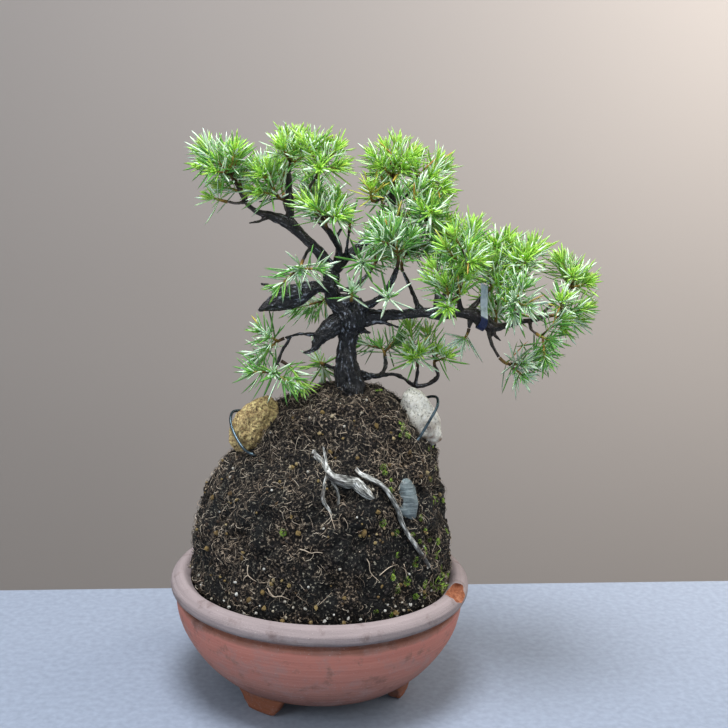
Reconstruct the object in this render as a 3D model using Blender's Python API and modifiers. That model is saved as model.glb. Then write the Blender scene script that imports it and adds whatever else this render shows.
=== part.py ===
"""A small root over rock bonsai: a needle conifer on a tall soil mound in a round clay pot.

Metres, +Z up. The pot stands on Z = 0 and the middle of the whole object is over the origin.
Every route and profile is written from the pot's own axis, and the viewer stands at -Y.
"""

import math
import random

import bmesh
import bpy
import numpy as np
from mathutils import Matrix, Vector, noise
from mathutils.bvhtree import BVHTree

# Frame and clearances
COLLECTION_NAME = "root_over_rock_bonsai"
POT_AXIS = (-0.0327, 0.0, 0.0)
GAP = 0.0003
BED_GAP = 0.00042
HOLE_CLEARANCE = 0.0004
WELD = 0.00001
TINY = 1e-12
SEED = 11

# Pot: (radius, height) down the outside, then up the inside
POT_STEPS = 28
POT_OUTSIDE = [
    (0.0740, 0.0660), (0.0780, 0.0693), (0.0820, 0.0682), (0.0850, 0.0645), (0.0848, 0.0610),
    (0.0825, 0.0590), (0.0802, 0.0582), (0.0800, 0.0568), (0.0818, 0.0552), (0.0812, 0.0490),
    (0.0787, 0.0400), (0.0733, 0.0300), (0.0665, 0.0210), (0.0580, 0.0130), (0.0500, 0.0085),
]
DRAIN_RADIUS = 0.009
BASE_UNDERSIDE = 0.0085
POT_INSIDE = [
    (0.0440, 0.0165), (0.0560, 0.0205), (0.0655, 0.0300), (0.0716, 0.0450), (0.0728, 0.0600),
]
POT_FLOOR = 0.0165

# Feet: three arcs of clay under the edge of the base
FOOT_ANGLES = (-35.0, 74.0, 200.0)
FOOT_HALF_ANGLE_TOP = 18.0
FOOT_HALF_ANGLE_SOLE = 10.0
FOOT_RADII_TOP = (0.0440, 0.0560)
FOOT_RADII_SOLE = (0.0455, 0.0530)
FOOT_TOP = 0.0125
FOOT_CUTS = 3
SHARP_ANGLE = 40.0

# Chip broken out of the collar, at the right
CHIP_ANGLE = 70.5
CHIP_RADIUS = 0.0840
CHIP_HEIGHT = 0.0715
CHIP_SIZE = (0.0120, 0.0115, 0.0080)
CHIP_ROUGHNESS = 0.004

# Net over the drain hole, under the soil
NET_SIDE = 0.026
NET_CELLS = 5
NET_THICKNESS = 0.0008

# Soil mound: (height, half width, sideways shift of the ring) above the pot's inner edge
MOUND_RINGS = [
    (0.1780, 0.0000, 0.0140), (0.1760, 0.0110, 0.0140), (0.1720, 0.0255, 0.0135),
    (0.1680, 0.0323, 0.0108), (0.1630, 0.0373, 0.0102), (0.1570, 0.0410, 0.0110),
    (0.1490, 0.0458, 0.0112), (0.1430, 0.0505, 0.0098), (0.1380, 0.0560, 0.0068),
    (0.1300, 0.0605, 0.0042), (0.1210, 0.0643, 0.0024), (0.1090, 0.0676, 0.0012),
    (0.0950, 0.0700, 0.0002), (0.0800, 0.0715, 0.0000), (0.0690, 0.0725, 0.0000),
    (0.0650, 0.0722, 0.0000),
]
MOUND_DEPTH_RATIO_LOW = 0.98
MOUND_DEPTH_RATIO_HIGH = 0.92
LUMP_SIZE = 0.017
LUMP_HEIGHT = 0.0045
LUMP_TILT = 0.35
LUMP_FADE = 0.012
SMALL_LUMP_SCALE = 2.3
SMALL_LUMP_SHARE = 0.5
SOIL_IN_POT_GAP = 0.0005
SOIL_IN_POT = [(0.0724, 0.0520), (0.0650, 0.0300), (0.0440, 0.0165)]

# Rock inside the mound and the face of it that shows at the front right
ROCK_CENTRE = (0.012, -0.004, 0.089)
ROCK_RADII = (0.046, 0.042, 0.059)
ROCK_ROUGHNESS = 0.005
ROCK_FACE_CENTRE = (0.0397, -0.0333, 0.1235)
ROCK_FACE_RADII = (0.0100, 0.0155, 0.0145)
ROCK_FACE_TURN = 46.0
ROCK_FACE_ROUGHNESS = 0.0022

# Two stones wired to the shoulders of the mound: centre, radii, lean towards the right
LEFT_STONE = ((-0.0385, -0.0060, 0.1545), (0.0105, 0.0085, 0.0180), 32.0)
RIGHT_STONE = ((0.0545, -0.0010, 0.1605), (0.0088, 0.0075, 0.0178), -27.0)
STONE_ROUGHNESS = 0.0022
STONE_DETAIL = 2
WEAR_SCALE = 1.7
WEAR_SHIFT = 90.0

# Wire hoops over the stones: hand-chosen points, pushed clear of the stone where they pass it
WIRE_RADIUS = 0.0008
WIRE_SEAT_GAP = 0.00066
WIRE_STEPS = 2
LEFT_WIRE = [
    (-0.0330, -0.0190, 0.1400), (-0.0372, -0.0235, 0.1430), (-0.0430, -0.0190, 0.1450),
    (-0.0480, -0.0130, 0.1500), (-0.0515, -0.0060, 0.1560), (-0.0510, 0.0010, 0.1600),
    (-0.0455, 0.0070, 0.1590), (-0.0370, 0.0110, 0.1560), (-0.0270, 0.0130, 0.1520),
]
RIGHT_WIRE = [
    (0.0440, -0.0130, 0.1440), (0.0485, -0.0185, 0.1480), (0.0535, -0.0150, 0.1540),
    (0.0585, -0.0110, 0.1620), (0.0625, -0.0060, 0.1685), (0.0625, 0.0010, 0.1720),
    (0.0575, 0.0080, 0.1700), (0.0505, 0.0120, 0.1640), (0.0415, 0.0130, 0.1580),
]

# Bevel steps of the trunk and of thick limbs; thinner ones have four sides
TRUNK_BEVEL = 2
THICK_BEVEL = 1
THIN_BEVEL = 0
THICK_RADIUS = 0.0035
TRUNK_BED_POINTS = 4

# Tree: each limb is a list of (x, y, z, radius) and starts inside the limb that carries it
LIMBS = {
    "trunk": [
        (0.0145, 0.0000, 0.1580, 0.01150), (0.0145, 0.0000, 0.1680, 0.01000),
        (0.0140, 0.0000, 0.1773, 0.00861), (0.0124, 0.0000, 0.1864, 0.00709),
        (0.0118, 0.0000, 0.1926, 0.00597), (0.0121, 0.0000, 0.2017, 0.00480),
        (0.0126, 0.0000, 0.2079, 0.00605), (0.0135, 0.0000, 0.2135, 0.00879),
        (0.0131, 0.0000, 0.2188, 0.00932), (0.0083, 0.0000, 0.2229, 0.00657),
        (0.0039, 0.0000, 0.2261, 0.00459), (0.0024, 0.0000, 0.2310, 0.00399),
        (0.0019, 0.0020, 0.2384, 0.00437), (-0.0002, 0.0040, 0.2441, 0.00394),
        (-0.0057, 0.0050, 0.2515, 0.00306), (-0.0146, 0.0060, 0.2598, 0.00273),
        (-0.0224, 0.0060, 0.2664, 0.00359), (-0.0311, 0.0050, 0.2698, 0.00250),
        (-0.0391, 0.0030, 0.2720, 0.00157), (-0.0449, 0.0010, 0.2774, 0.00124),
        (-0.0489, -0.0020, 0.2856, 0.00102),
    ],
    "beak_stub": [
        (0.0033, -0.0010, 0.2284, 0.00393), (0.0008, -0.0030, 0.2324, 0.00353),
        (-0.0048, -0.0070, 0.2337, 0.00313), (-0.0095, -0.0090, 0.2323, 0.00442),
        (-0.0148, -0.0100, 0.2298, 0.00603), (-0.0206, -0.0110, 0.2277, 0.00657),
        (-0.0275, -0.0120, 0.2251, 0.00484), (-0.0327, -0.0135, 0.2230, 0.00242),
        (-0.0362, -0.0140, 0.2212, 0.00064),
    ],
    "beak_twig": [
        (-0.0228, -0.0110, 0.2311, 0.00129), (-0.0282, -0.0120, 0.2333, 0.00091),
        (-0.0319, -0.0125, 0.2346, 0.00075), (-0.0354, -0.0130, 0.2354, 0.00070),
    ],
    "hook_stub": [
        (0.0091, -0.0010, 0.2153, 0.00548), (0.0027, -0.0030, 0.2104, 0.00564),
        (-0.0015, -0.0050, 0.2068, 0.00454), (-0.0043, -0.0070, 0.2032, 0.00295),
        (-0.0061, -0.0080, 0.2001, 0.00196), (-0.0090, -0.0090, 0.1980, 0.00125),
        (-0.0123, -0.0100, 0.1977, 0.00065),
    ],
    "low_left_twig": [
        (-0.0020, -0.0060, 0.2079, 0.00246), (-0.0074, -0.0080, 0.2077, 0.00141),
        (-0.0128, -0.0090, 0.2079, 0.00103), (-0.0182, -0.0100, 0.2071, 0.00087),
        (-0.0219, -0.0110, 0.2058, 0.00081),
    ],
    "low_left_hanging": [
        (-0.0182, -0.0100, 0.2070, 0.00092), (-0.0222, -0.0130, 0.2007, 0.00092),
        (-0.0247, -0.0150, 0.1944, 0.00087), (-0.0261, -0.0170, 0.1903, 0.00081),
    ],
    "left_riser": [
        (-0.0218, 0.0060, 0.2656, 0.00283), (-0.0214, 0.0060, 0.2722, 0.00212),
        (-0.0215, 0.0060, 0.2787, 0.00244), (-0.0222, 0.0060, 0.2857, 0.00195),
        (-0.0222, 0.0050, 0.2933, 0.00129),
    ],
    "left_bare_twig": [
        (-0.0221, 0.0060, 0.2803, 0.00119), (-0.0273, 0.0040, 0.2795, 0.00070),
        (-0.0331, 0.0020, 0.2787, 0.00059), (-0.0384, 0.0010, 0.2776, 0.00048),
    ],
    "riser_twig": [
        (-0.0215, 0.0060, 0.2765, 0.00163), (-0.0159, 0.0030, 0.2808, 0.00108),
        (-0.0111, 0.0010, 0.2860, 0.00091), (-0.0079, 0.0000, 0.2910, 0.00080),
    ],
    "far_left_twig": [
        (-0.0451, 0.0008, 0.2777, 0.00108), (-0.0494, -0.0020, 0.2768, 0.00086),
        (-0.0540, -0.0040, 0.2777, 0.00091),
    ],
    "left_snag": [
        (-0.0321, 0.0040, 0.2696, 0.00141), (-0.0383, 0.0010, 0.2671, 0.00081),
        (-0.0430, -0.0010, 0.2664, 0.00054),
    ],
    "left_under_twig": [
        (-0.0084, 0.0050, 0.2544, 0.00164), (-0.0113, -0.0020, 0.2518, 0.00103),
        (-0.0130, -0.0090, 0.2484, 0.00086),
    ],
    "left_back_twig": [
        (-0.0218, 0.0060, 0.2662, 0.00218), (-0.0220, 0.0160, 0.2680, 0.00170),
        (-0.0250, 0.0270, 0.2730, 0.00140), (-0.0265, 0.0340, 0.2765, 0.00110),
    ],
    "top_limb": [
        (0.0026, 0.0030, 0.2410, 0.00383), (0.0065, 0.0060, 0.2443, 0.00307),
        (0.0102, 0.0100, 0.2479, 0.00264), (0.0161, 0.0145, 0.2527, 0.00243),
        (0.0220, 0.0180, 0.2574, 0.00222), (0.0255, 0.0190, 0.2616, 0.00194),
        (0.0311, 0.0200, 0.2672, 0.00189), (0.0337, 0.0200, 0.2728, 0.00188),
        (0.0340, 0.0200, 0.2795, 0.00182), (0.0343, 0.0190, 0.2862, 0.00143),
    ],
    "top_right_twig": [
        (0.0340, 0.0200, 0.2762, 0.00160), (0.0394, 0.0180, 0.2804, 0.00121),
        (0.0447, 0.0160, 0.2846, 0.00099),
    ],
    "top_left_twig": [
        (0.0341, 0.0200, 0.2817, 0.00144), (0.0290, 0.0160, 0.2803, 0.00093),
        (0.0252, 0.0130, 0.2789, 0.00077),
    ],
    "inner_right_twig": [
        (0.0257, 0.0190, 0.2619, 0.00166), (0.0323, 0.0140, 0.2636, 0.00121),
        (0.0393, 0.0090, 0.2650, 0.00098), (0.0452, 0.0060, 0.2661, 0.00082),
    ],
    "middle_twig": [
        (0.0078, 0.0070, 0.2455, 0.00187), (0.0064, 0.0050, 0.2513, 0.00131),
        (0.0039, 0.0020, 0.2566, 0.00147), (0.0016, 0.0000, 0.2612, 0.00173),
        (-0.0003, -0.0020, 0.2643, 0.00119),
    ],
    "fork_twig": [
        (0.0033, 0.0015, 0.2583, 0.00130), (0.0051, 0.0030, 0.2614, 0.00098),
        (0.0069, 0.0040, 0.2643, 0.00076),
    ],
    "upright_twig": [
        (0.0091, 0.0090, 0.2472, 0.00132), (0.0101, 0.0070, 0.2528, 0.00088),
        (0.0103, 0.0050, 0.2575, 0.00082), (0.0110, 0.0030, 0.2621, 0.00065),
    ],
    "star_twig": [
        (0.0113, 0.0110, 0.2486, 0.00154), (0.0141, 0.0020, 0.2487, 0.00098),
        (0.0167, -0.0080, 0.2490, 0.00081),
    ],
    "crown_back_twig": [
        (0.0044, 0.0045, 0.2428, 0.00219), (0.0056, 0.0110, 0.2525, 0.00200),
        (0.0015, 0.0170, 0.2585, 0.00180), (-0.0040, 0.0220, 0.2635, 0.00150),
        (-0.0085, 0.0270, 0.2675, 0.00110),
    ],
    "crown_far_twig": [
        (0.0182, 0.0158, 0.2544, 0.00166), (0.0265, 0.0280, 0.2660, 0.00150),
        (0.0285, 0.0380, 0.2710, 0.00110),
    ],
    "right_limb": [
        (0.0134, 0.0000, 0.2180, 0.00658), (0.0195, -0.0010, 0.2181, 0.00449),
        (0.0249, -0.0020, 0.2180, 0.00361), (0.0326, -0.0040, 0.2186, 0.00311),
        (0.0433, -0.0070, 0.2203, 0.00261), (0.0530, -0.0080, 0.2217, 0.00282),
        (0.0616, -0.0100, 0.2215, 0.00324), (0.0707, -0.0110, 0.2227, 0.00253),
        (0.0788, -0.0110, 0.2220, 0.00356), (0.0838, -0.0110, 0.2197, 0.00432),
        (0.0877, -0.0110, 0.2170, 0.00367), (0.0922, -0.0100, 0.2152, 0.00249),
        (0.0988, -0.0080, 0.2162, 0.00163), (0.1066, -0.0060, 0.2180, 0.00136),
        (0.1154, -0.0040, 0.2193, 0.00120), (0.1209, -0.0030, 0.2207, 0.00104),
    ],
    "bare_twig": [
        (0.0185, -0.0020, 0.2135, 0.00274), (0.0240, -0.0040, 0.2141, 0.00153),
        (0.0278, -0.0050, 0.2150, 0.00109), (0.0327, -0.0060, 0.2144, 0.00087),
        (0.0398, -0.0080, 0.2131, 0.00049),
    ],
    "burl_nub": [
        (0.0169, -0.0010, 0.2111, 0.00302), (0.0214, -0.0030, 0.2091, 0.00153),
        (0.0244, -0.0035, 0.2082, 0.00066),
    ],
    "burl_front_twig": [
        (0.0122, -0.0040, 0.2232, 0.00163), (0.0134, -0.0130, 0.2277, 0.00102),
    ],
    "inner_limb": [
        (0.0172, -0.0020, 0.2213, 0.00328), (0.0242, -0.0060, 0.2253, 0.00228),
        (0.0294, -0.0090, 0.2294, 0.00183), (0.0325, -0.0120, 0.2346, 0.00182),
        (0.0354, -0.0150, 0.2407, 0.00171), (0.0373, -0.0170, 0.2470, 0.00127),
    ],
    "inner_front_twig": [
        (0.0279, -0.0080, 0.2280, 0.00141), (0.0299, -0.0150, 0.2297, 0.00096),
        (0.0320, -0.0210, 0.2306, 0.00074),
    ],
    "middle_riser": [
        (0.0514, -0.0080, 0.2219, 0.00228), (0.0483, -0.0040, 0.2277, 0.00130),
        (0.0461, 0.0010, 0.2328, 0.00120), (0.0433, 0.0050, 0.2370, 0.00104),
        (0.0412, 0.0070, 0.2410, 0.00088),
    ],
    "right_riser": [
        (0.0608, -0.0100, 0.2220, 0.00259), (0.0601, -0.0070, 0.2275, 0.00217),
        (0.0599, -0.0020, 0.2326, 0.00142), (0.0602, 0.0040, 0.2371, 0.00110),
        (0.0608, 0.0100, 0.2423, 0.00088),
    ],
    "right_front_riser": [
        (0.0728, -0.0110, 0.2229, 0.00194), (0.0711, -0.0150, 0.2304, 0.00139),
        (0.0695, -0.0190, 0.2376, 0.00106), (0.0694, -0.0210, 0.2428, 0.00085),
    ],
    "right_under_twig": [
        (0.0783, -0.0110, 0.2217, 0.00216), (0.0773, -0.0140, 0.2151, 0.00092),
    ],
    "far_right_riser": [
        (0.0772, -0.0105, 0.2224, 0.00227), (0.0815, -0.0010, 0.2260, 0.00153),
        (0.0881, 0.0030, 0.2327, 0.00110), (0.0923, 0.0050, 0.2380, 0.00088),
    ],
    "end_riser": [
        (0.0994, -0.0080, 0.2164, 0.00157), (0.1020, -0.0060, 0.2226, 0.00114),
        (0.1040, -0.0040, 0.2289, 0.00103), (0.1049, -0.0030, 0.2343, 0.00081),
    ],
    "end_up_twig": [
        (0.1144, -0.0040, 0.2191, 0.00120), (0.1202, 0.0010, 0.2235, 0.00099),
        (0.1258, 0.0040, 0.2281, 0.00088), (0.1296, 0.0050, 0.2308, 0.00077),
    ],
    "end_front_twig": [
        (0.1055, -0.0060, 0.2177, 0.00131), (0.1033, -0.0140, 0.2225, 0.00091),
        (0.1012, -0.0210, 0.2271, 0.00074),
    ],
    "end_low_twig": [
        (0.1110, -0.0050, 0.2186, 0.00120), (0.1112, -0.0100, 0.2148, 0.00087),
        (0.1134, -0.0150, 0.2135, 0.00075),
    ],
    "hanging_twig": [
        (0.0880, -0.0105, 0.2164, 0.00195), (0.0887, -0.0130, 0.2103, 0.00119),
        (0.0906, -0.0160, 0.2055, 0.00102), (0.0939, -0.0180, 0.2005, 0.00091),
    ],
    "right_snag": [
        (0.0888, -0.0110, 0.2160, 0.00243), (0.0917, -0.0120, 0.2113, 0.00119),
        (0.0950, -0.0130, 0.2083, 0.00054),
    ],
    "back_limb": [
        (0.0139, 0.0010, 0.2189, 0.00439), (0.0115, 0.0130, 0.2230, 0.00260),
        (0.0150, 0.0230, 0.2280, 0.00200), (0.0200, 0.0330, 0.2325, 0.00150),
        (0.0235, 0.0410, 0.2360, 0.00110),
    ],
    "back_low_twig": [
        (0.0150, 0.0230, 0.2280, 0.00170), (0.0070, 0.0310, 0.2255, 0.00130),
        (0.0015, 0.0365, 0.2215, 0.00120),
    ],
    "right_back_limb": [
        (0.0616, -0.0100, 0.2215, 0.00270), (0.0610, 0.0030, 0.2220, 0.00200),
        (0.0645, 0.0160, 0.2260, 0.00150), (0.0680, 0.0270, 0.2300, 0.00110),
    ],
    "low_right_twig": [
        (0.0155, 0.0000, 0.1830, 0.00344), (0.0205, 0.0020, 0.1827, 0.00311),
        (0.0250, 0.0050, 0.1821, 0.00207), (0.0306, 0.0090, 0.1815, 0.00135),
        (0.0368, 0.0110, 0.1822, 0.00101), (0.0419, 0.0130, 0.1807, 0.00107),
        (0.0466, 0.0150, 0.1774, 0.00119), (0.0508, 0.0165, 0.1743, 0.00142),
        (0.0559, 0.0165, 0.1748, 0.00125), (0.0603, 0.0160, 0.1770, 0.00125),
        (0.0634, 0.0140, 0.1812, 0.00119), (0.0614, 0.0120, 0.1868, 0.00101),
    ],
    "low_right_upright": [
        (0.0508, 0.0165, 0.1746, 0.00136), (0.0514, 0.0140, 0.1808, 0.00102),
        (0.0516, 0.0120, 0.1865, 0.00084),
    ],
    "low_back_twig": [
        (0.0311, 0.0090, 0.1816, 0.00124), (0.0336, 0.0170, 0.1855, 0.00130),
        (0.0335, 0.0240, 0.1885, 0.00110),
    ],
    "base_left_twig": [
        (0.0120, 0.0015, 0.1845, 0.00220), (0.0040, 0.0095, 0.1850, 0.00130),
        (0.0000, 0.0125, 0.1860, 0.00110),
    ],
}

# Surface roots: (x, z, depth below the mound's skin, radius), laid on the front or the back
FRONT = -1.0
BACK = 1.0
ROOT_VIEW_DISTANCE = 0.2
ROOTS = {
    "thick_root": (FRONT, [
        (0.0080, 0.1650, 0.0095, 0.00320), (-0.0037, 0.1506, 0.0016, 0.00172),
        (0.0019, 0.1457, 0.0003, 0.00167), (0.0064, 0.1412, -0.0003, 0.00204),
        (0.0123, 0.1391, -0.0010, 0.00290), (0.0182, 0.1369, -0.0012, 0.00339),
        (0.0230, 0.1343, -0.0008, 0.00290), (0.0267, 0.1319, 0.0002, 0.00194),
        (0.0320, 0.1304, 0.0035, 0.00118),
    ]),
    "long_root": (FRONT, [
        (0.0170, 0.1600, 0.0080, 0.00220), (0.0195, 0.1430, 0.0009, 0.00129),
        (0.0264, 0.1401, -0.0001, 0.00134), (0.0334, 0.1364, -0.0006, 0.00140),
        (0.0379, 0.1296, -0.0016, 0.00129), (0.0408, 0.1212, -0.0022, 0.00124),
        (0.0448, 0.1127, -0.0010, 0.00118), (0.0535, 0.0990, -0.0003, 0.00113),
        (0.0596, 0.0882, 0.0002, 0.00097), (0.0616, 0.0811, 0.0026, 0.00081),
    ]),
    "forked_root": (FRONT, [
        (0.0003, 0.1566, 0.0022, 0.00091), (0.0023, 0.1497, 0.0002, 0.00086),
        (0.0048, 0.1416, -0.0005, 0.00086), (0.0100, 0.1329, -0.0002, 0.00081),
        (0.0097, 0.1263, 0.0022, 0.00070),
    ]),
    "hanging_root": (FRONT, [
        (0.0038, 0.1412, 0.0006, 0.00118), (0.0017, 0.1310, -0.0004, 0.00102),
        (0.0062, 0.1235, 0.0000, 0.00081), (0.0096, 0.1156, 0.0024, 0.00070),
    ]),
    "back_root": (BACK, [
        (0.0100, 0.1660, 0.0100, 0.0040), (0.0020, 0.1590, 0.0050, 0.0028),
        (-0.0050, 0.1520, 0.0010, 0.0021), (-0.0110, 0.1440, -0.0005, 0.0020),
        (-0.0150, 0.1350, -0.0004, 0.0018), (-0.0220, 0.1260, 0.0000, 0.0015),
        (-0.0260, 0.1190, 0.0040, 0.0011),
    ]),
}

# Plant label: a strip closed round the right limb, with its two leaves standing up
LABEL_CENTRE = (0.0852, -0.0110, 0.2189)
LABEL_TURN = 25.0
LABEL_WIDTH = 0.0042
LABEL_LOOP_RADIUS = 0.0054
LABEL_THICKNESS = 0.0005
LABEL_LOOP_STEPS = 10
LABEL_TOP = 0.0176
LABEL_LEAF_SPACING = 0.0012
LABEL_LEAN = 0.0088

# Sprays: name, limb, point of the limb that carries it, tip of the leading shoot, side shoots
END = -1
SPRAYS = [
    ("spray_far_left_top", "trunk", END, (-0.0600, -0.0090, 0.3001), 3),
    ("spray_far_left_side", "trunk", 19, (-0.0565, 0.0080, 0.2936), 2),
    ("spray_far_left_low", "far_left_twig", END, (-0.0615, -0.0090, 0.2801), 0),
    ("spray_left_leader", "left_riser", END, (-0.0185, 0.0020, 0.3059), 3),
    ("spray_left_inner", "left_riser", 2, (-0.0323, -0.0040, 0.2953), 2),
    ("spray_left_right", "riser_twig", END, (-0.0052, -0.0060, 0.3000), 2),
    ("spray_left_back", "left_back_twig", END, (-0.0306, 0.0480, 0.2922), 2),
    ("spray_left_under", "left_under_twig", END, (-0.0139, -0.0220, 0.2446), 2),
    ("spray_crown_back", "crown_back_twig", END, (-0.0075, 0.0360, 0.2782), 2),
    ("spray_crown_middle", "middle_twig", END, (-0.0002, -0.0090, 0.2735), 2),
    ("spray_star", "star_twig", END, (0.0192, -0.0250, 0.2503), 0),
    ("spray_top", "top_limb", END, (0.0348, 0.0140, 0.2997), 3),
    ("spray_top_left", "top_left_twig", END, (0.0222, 0.0060, 0.2855), 0),
    ("spray_top_right", "top_right_twig", END, (0.0540, 0.0100, 0.2931), 2),
    ("spray_top_back", "crown_far_twig", END, (0.0320, 0.0520, 0.2846), 2),
    ("spray_inner_top", "inner_right_twig", END, (0.0564, -0.0030, 0.2746), 2),
    ("spray_inner_front", "inner_right_twig", 2, (0.0445, -0.0040, 0.2754), 1),
    ("spray_upright", "upright_twig", END, (0.0115, -0.0020, 0.2688), 0),
    ("spray_burl", "burl_front_twig", END, (0.0138, -0.0220, 0.2347), 0),
    ("spray_inner_star", "inner_front_twig", END, (0.0328, -0.0320, 0.2339), 0),
    ("spray_middle_front", "inner_limb", END, (0.0335, -0.0220, 0.2635), 2),
    ("spray_middle", "middle_riser", END, (0.0450, 0.0040, 0.2554), 2),
    ("spray_right_top", "right_riser", END, (0.0672, 0.0080, 0.2638), 2),
    ("spray_right_front", "right_front_riser", END, (0.0740, -0.0290, 0.2595), 3),
    ("spray_right_low_front", "right_front_riser", 1, (0.0626, -0.0330, 0.2425), 2),
    ("spray_right_under", "right_under_twig", END, (0.0745, -0.0190, 0.2101), 1),
    ("spray_far_right_top", "far_right_riser", END, (0.0903, 0.0040, 0.2536), 2),
    ("spray_far_right_front", "far_right_riser", 2, (0.0927, -0.0120, 0.2420), 2),
    ("spray_end_top", "end_riser", END, (0.1057, -0.0040, 0.2547), 2),
    ("spray_end_up", "end_up_twig", END, (0.1348, 0.0040, 0.2412), 3),
    ("spray_end_tip", "right_limb", END, (0.1287, -0.0090, 0.2218), 2),
    ("spray_end_star", "end_front_twig", END, (0.0987, -0.0350, 0.2350), 1),
    ("spray_end_low", "end_low_twig", END, (0.1206, -0.0220, 0.2116), 1),
    ("spray_hanging", "hanging_twig", END, (0.1131, -0.0230, 0.2012), 2),
    ("spray_end_back", "right_limb", 11, (0.1013, 0.0230, 0.2289), 2),
    ("spray_back", "back_limb", END, (0.0292, 0.0540, 0.2460), 2),
    ("spray_back_left", "back_low_twig", END, (-0.0094, 0.0460, 0.2112), 1),
    ("spray_right_back", "right_back_limb", END, (0.0742, 0.0420, 0.2422), 3),
    ("spray_low_left", "low_left_twig", END, (-0.0297, -0.0140, 0.2012), 2),
    ("spray_low_left_end", "low_left_hanging", END, (-0.0271, -0.0250, 0.1895), 2),
    ("spray_low_left_inner", "low_left_hanging", 2, (-0.0124, -0.0160, 0.1816), 0),
    ("spray_base_left", "base_left_twig", END, (-0.0036, 0.0170, 0.1864), 2),
    ("spray_low_right", "low_right_twig", END, (0.0625, 0.0080, 0.1958), 1),
    ("spray_low_right_inner", "low_right_upright", END, (0.0474, 0.0080, 0.1953), 2),
    ("spray_low_back", "low_back_twig", END, (0.0309, 0.0340, 0.1930), 2),
]

# Shoots: woody cores, how a leading shoot bows and how a side shoot sets out from it
LEADER_RADII = (0.0010, 0.0008)
SIDE_RADII = (0.0008, 0.0007)
LEADER_POINTS = 4
LEADER_BOW = 0.4
SIDE_SHOOT_LENGTH = (0.0110, 0.0170)
SIDE_SHOOT_START = (0.1, 0.7)
SIDE_SHOOT_OUT = 0.85
SIDE_SHOOT_FORWARD = 0.62
SIDE_SHOOT_LIFT = 0.22
SHOOT_TURN = 137.5
SHOOT_RETRY_TURN = 50.0
CORE_TWIST = 28.0
CORE_CLEARANCE = 0.0021
TIP_SEAT_GAP = 0.00045
SIDE_SEAT_GAP = 0.00045
TRIES = 14
SKIN_TESTS = 6
STEEP = 0.95

# Needles: spread wide low on a shoot and closing towards its tip
LEADER_BARE = 0.0045
SIDE_BARE = 0.0035
TIP_BARE = 0.0008
NEEDLE_RADIUS = 0.0004
NEEDLE_LENGTH_LOW = 0.0150
NEEDLE_LENGTH_TIP = 0.0115
NEEDLE_LENGTH_SPREAD = (0.88, 1.06)
NEEDLE_TILT_LOW = 66.0
NEEDLE_TILT_TIP = 30.0
NEEDLE_TILT_SPREAD = 7.0
NEEDLE_TILT_RETRY = 0.3
NEEDLE_SPACING = 0.0042
NEEDLE_TURN = 137.5
NEEDLE_RETRY_TURN = 90.0
NEEDLE_CLEARANCE = 0.0012
NEEDLE_FOOT = 0.0025
FEWEST_NEEDLES = 3

# Colours (linear RGB), roughness and metallic value of each material
LOOKS = {
    "terracotta": ((0.270, 0.118, 0.088), 0.75, 0.0),
    "drain_net": ((0.020, 0.030, 0.025), 0.60, 0.0),
    "soil_and_rootlets": ((0.032, 0.022, 0.015), 0.95, 0.0),
    "grey_rock": ((0.150, 0.160, 0.170), 0.60, 0.0),
    "tan_stone": ((0.420, 0.270, 0.110), 0.85, 0.0),
    "pale_stone": ((0.480, 0.430, 0.370), 0.80, 0.0),
    "dark_wire": ((0.030, 0.040, 0.040), 0.35, 1.0),
    "bark": ((0.012, 0.011, 0.012), 0.55, 0.0),
    "label": ((0.780, 0.800, 0.840), 0.50, 0.0),
    "needles": ((0.130, 0.340, 0.090), 0.50, 0.0),
}


def clear_scene():
    """Remove every object that the file opened with."""
    for old in list(bpy.data.objects):
        bpy.data.objects.remove(old, do_unlink=True)


def new_collection(name):
    """Add a collection to the scene."""
    collection = bpy.data.collections.new(name)
    bpy.context.scene.collection.children.link(collection)
    return collection


def new_material(name):
    """Make the Principled material that LOOKS describes."""
    colour, roughness, metallic = LOOKS[name]
    material = bpy.data.materials.new(name)
    material.use_nodes = True
    shader = material.node_tree.nodes["Principled BSDF"]
    shader.inputs["Base Color"].default_value = (*colour, 1.0)
    shader.inputs["Roughness"].default_value = roughness
    shader.inputs["Metallic"].default_value = metallic
    material.diffuse_color = (*colour, 1.0)
    return material


def new_object(name, mesh, collection):
    """Put a mesh in a collection as an object."""
    obj = bpy.data.objects.new(name, mesh)
    collection.objects.link(obj)
    return obj


def mesh_from(bm, name):
    """Turn a bmesh into a mesh with its faces pointing out."""
    bmesh.ops.recalc_face_normals(bm, faces=bm.faces)
    mesh = bpy.data.meshes.new(name)
    bm.to_mesh(mesh)
    bm.free()
    return mesh


def evaluated_mesh(obj):
    """Give a copy of an object's mesh with its modifiers applied."""
    bpy.context.view_layer.update()
    graph = bpy.context.evaluated_depsgraph_get()
    return bpy.data.meshes.new_from_object(obj.evaluated_get(graph))


def bake(obj):
    """Replace an object's mesh by its evaluated one."""
    mesh = evaluated_mesh(obj)
    obj.modifiers.clear()
    obj.data = mesh


def combine(obj, pieces, operation, solver="EXACT"):
    """Join pieces to an object, or cut them out of it, and remove them."""
    group = new_collection("operands")
    for piece in pieces:
        group.objects.link(piece)
    boolean = obj.modifiers.new(operation.lower(), "BOOLEAN")
    boolean.operation = operation
    boolean.operand_type = "COLLECTION"
    boolean.collection = group
    boolean.solver = solver
    bake(obj)
    for piece in pieces:
        bpy.data.objects.remove(piece, do_unlink=True)
    bpy.data.collections.remove(group)


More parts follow.
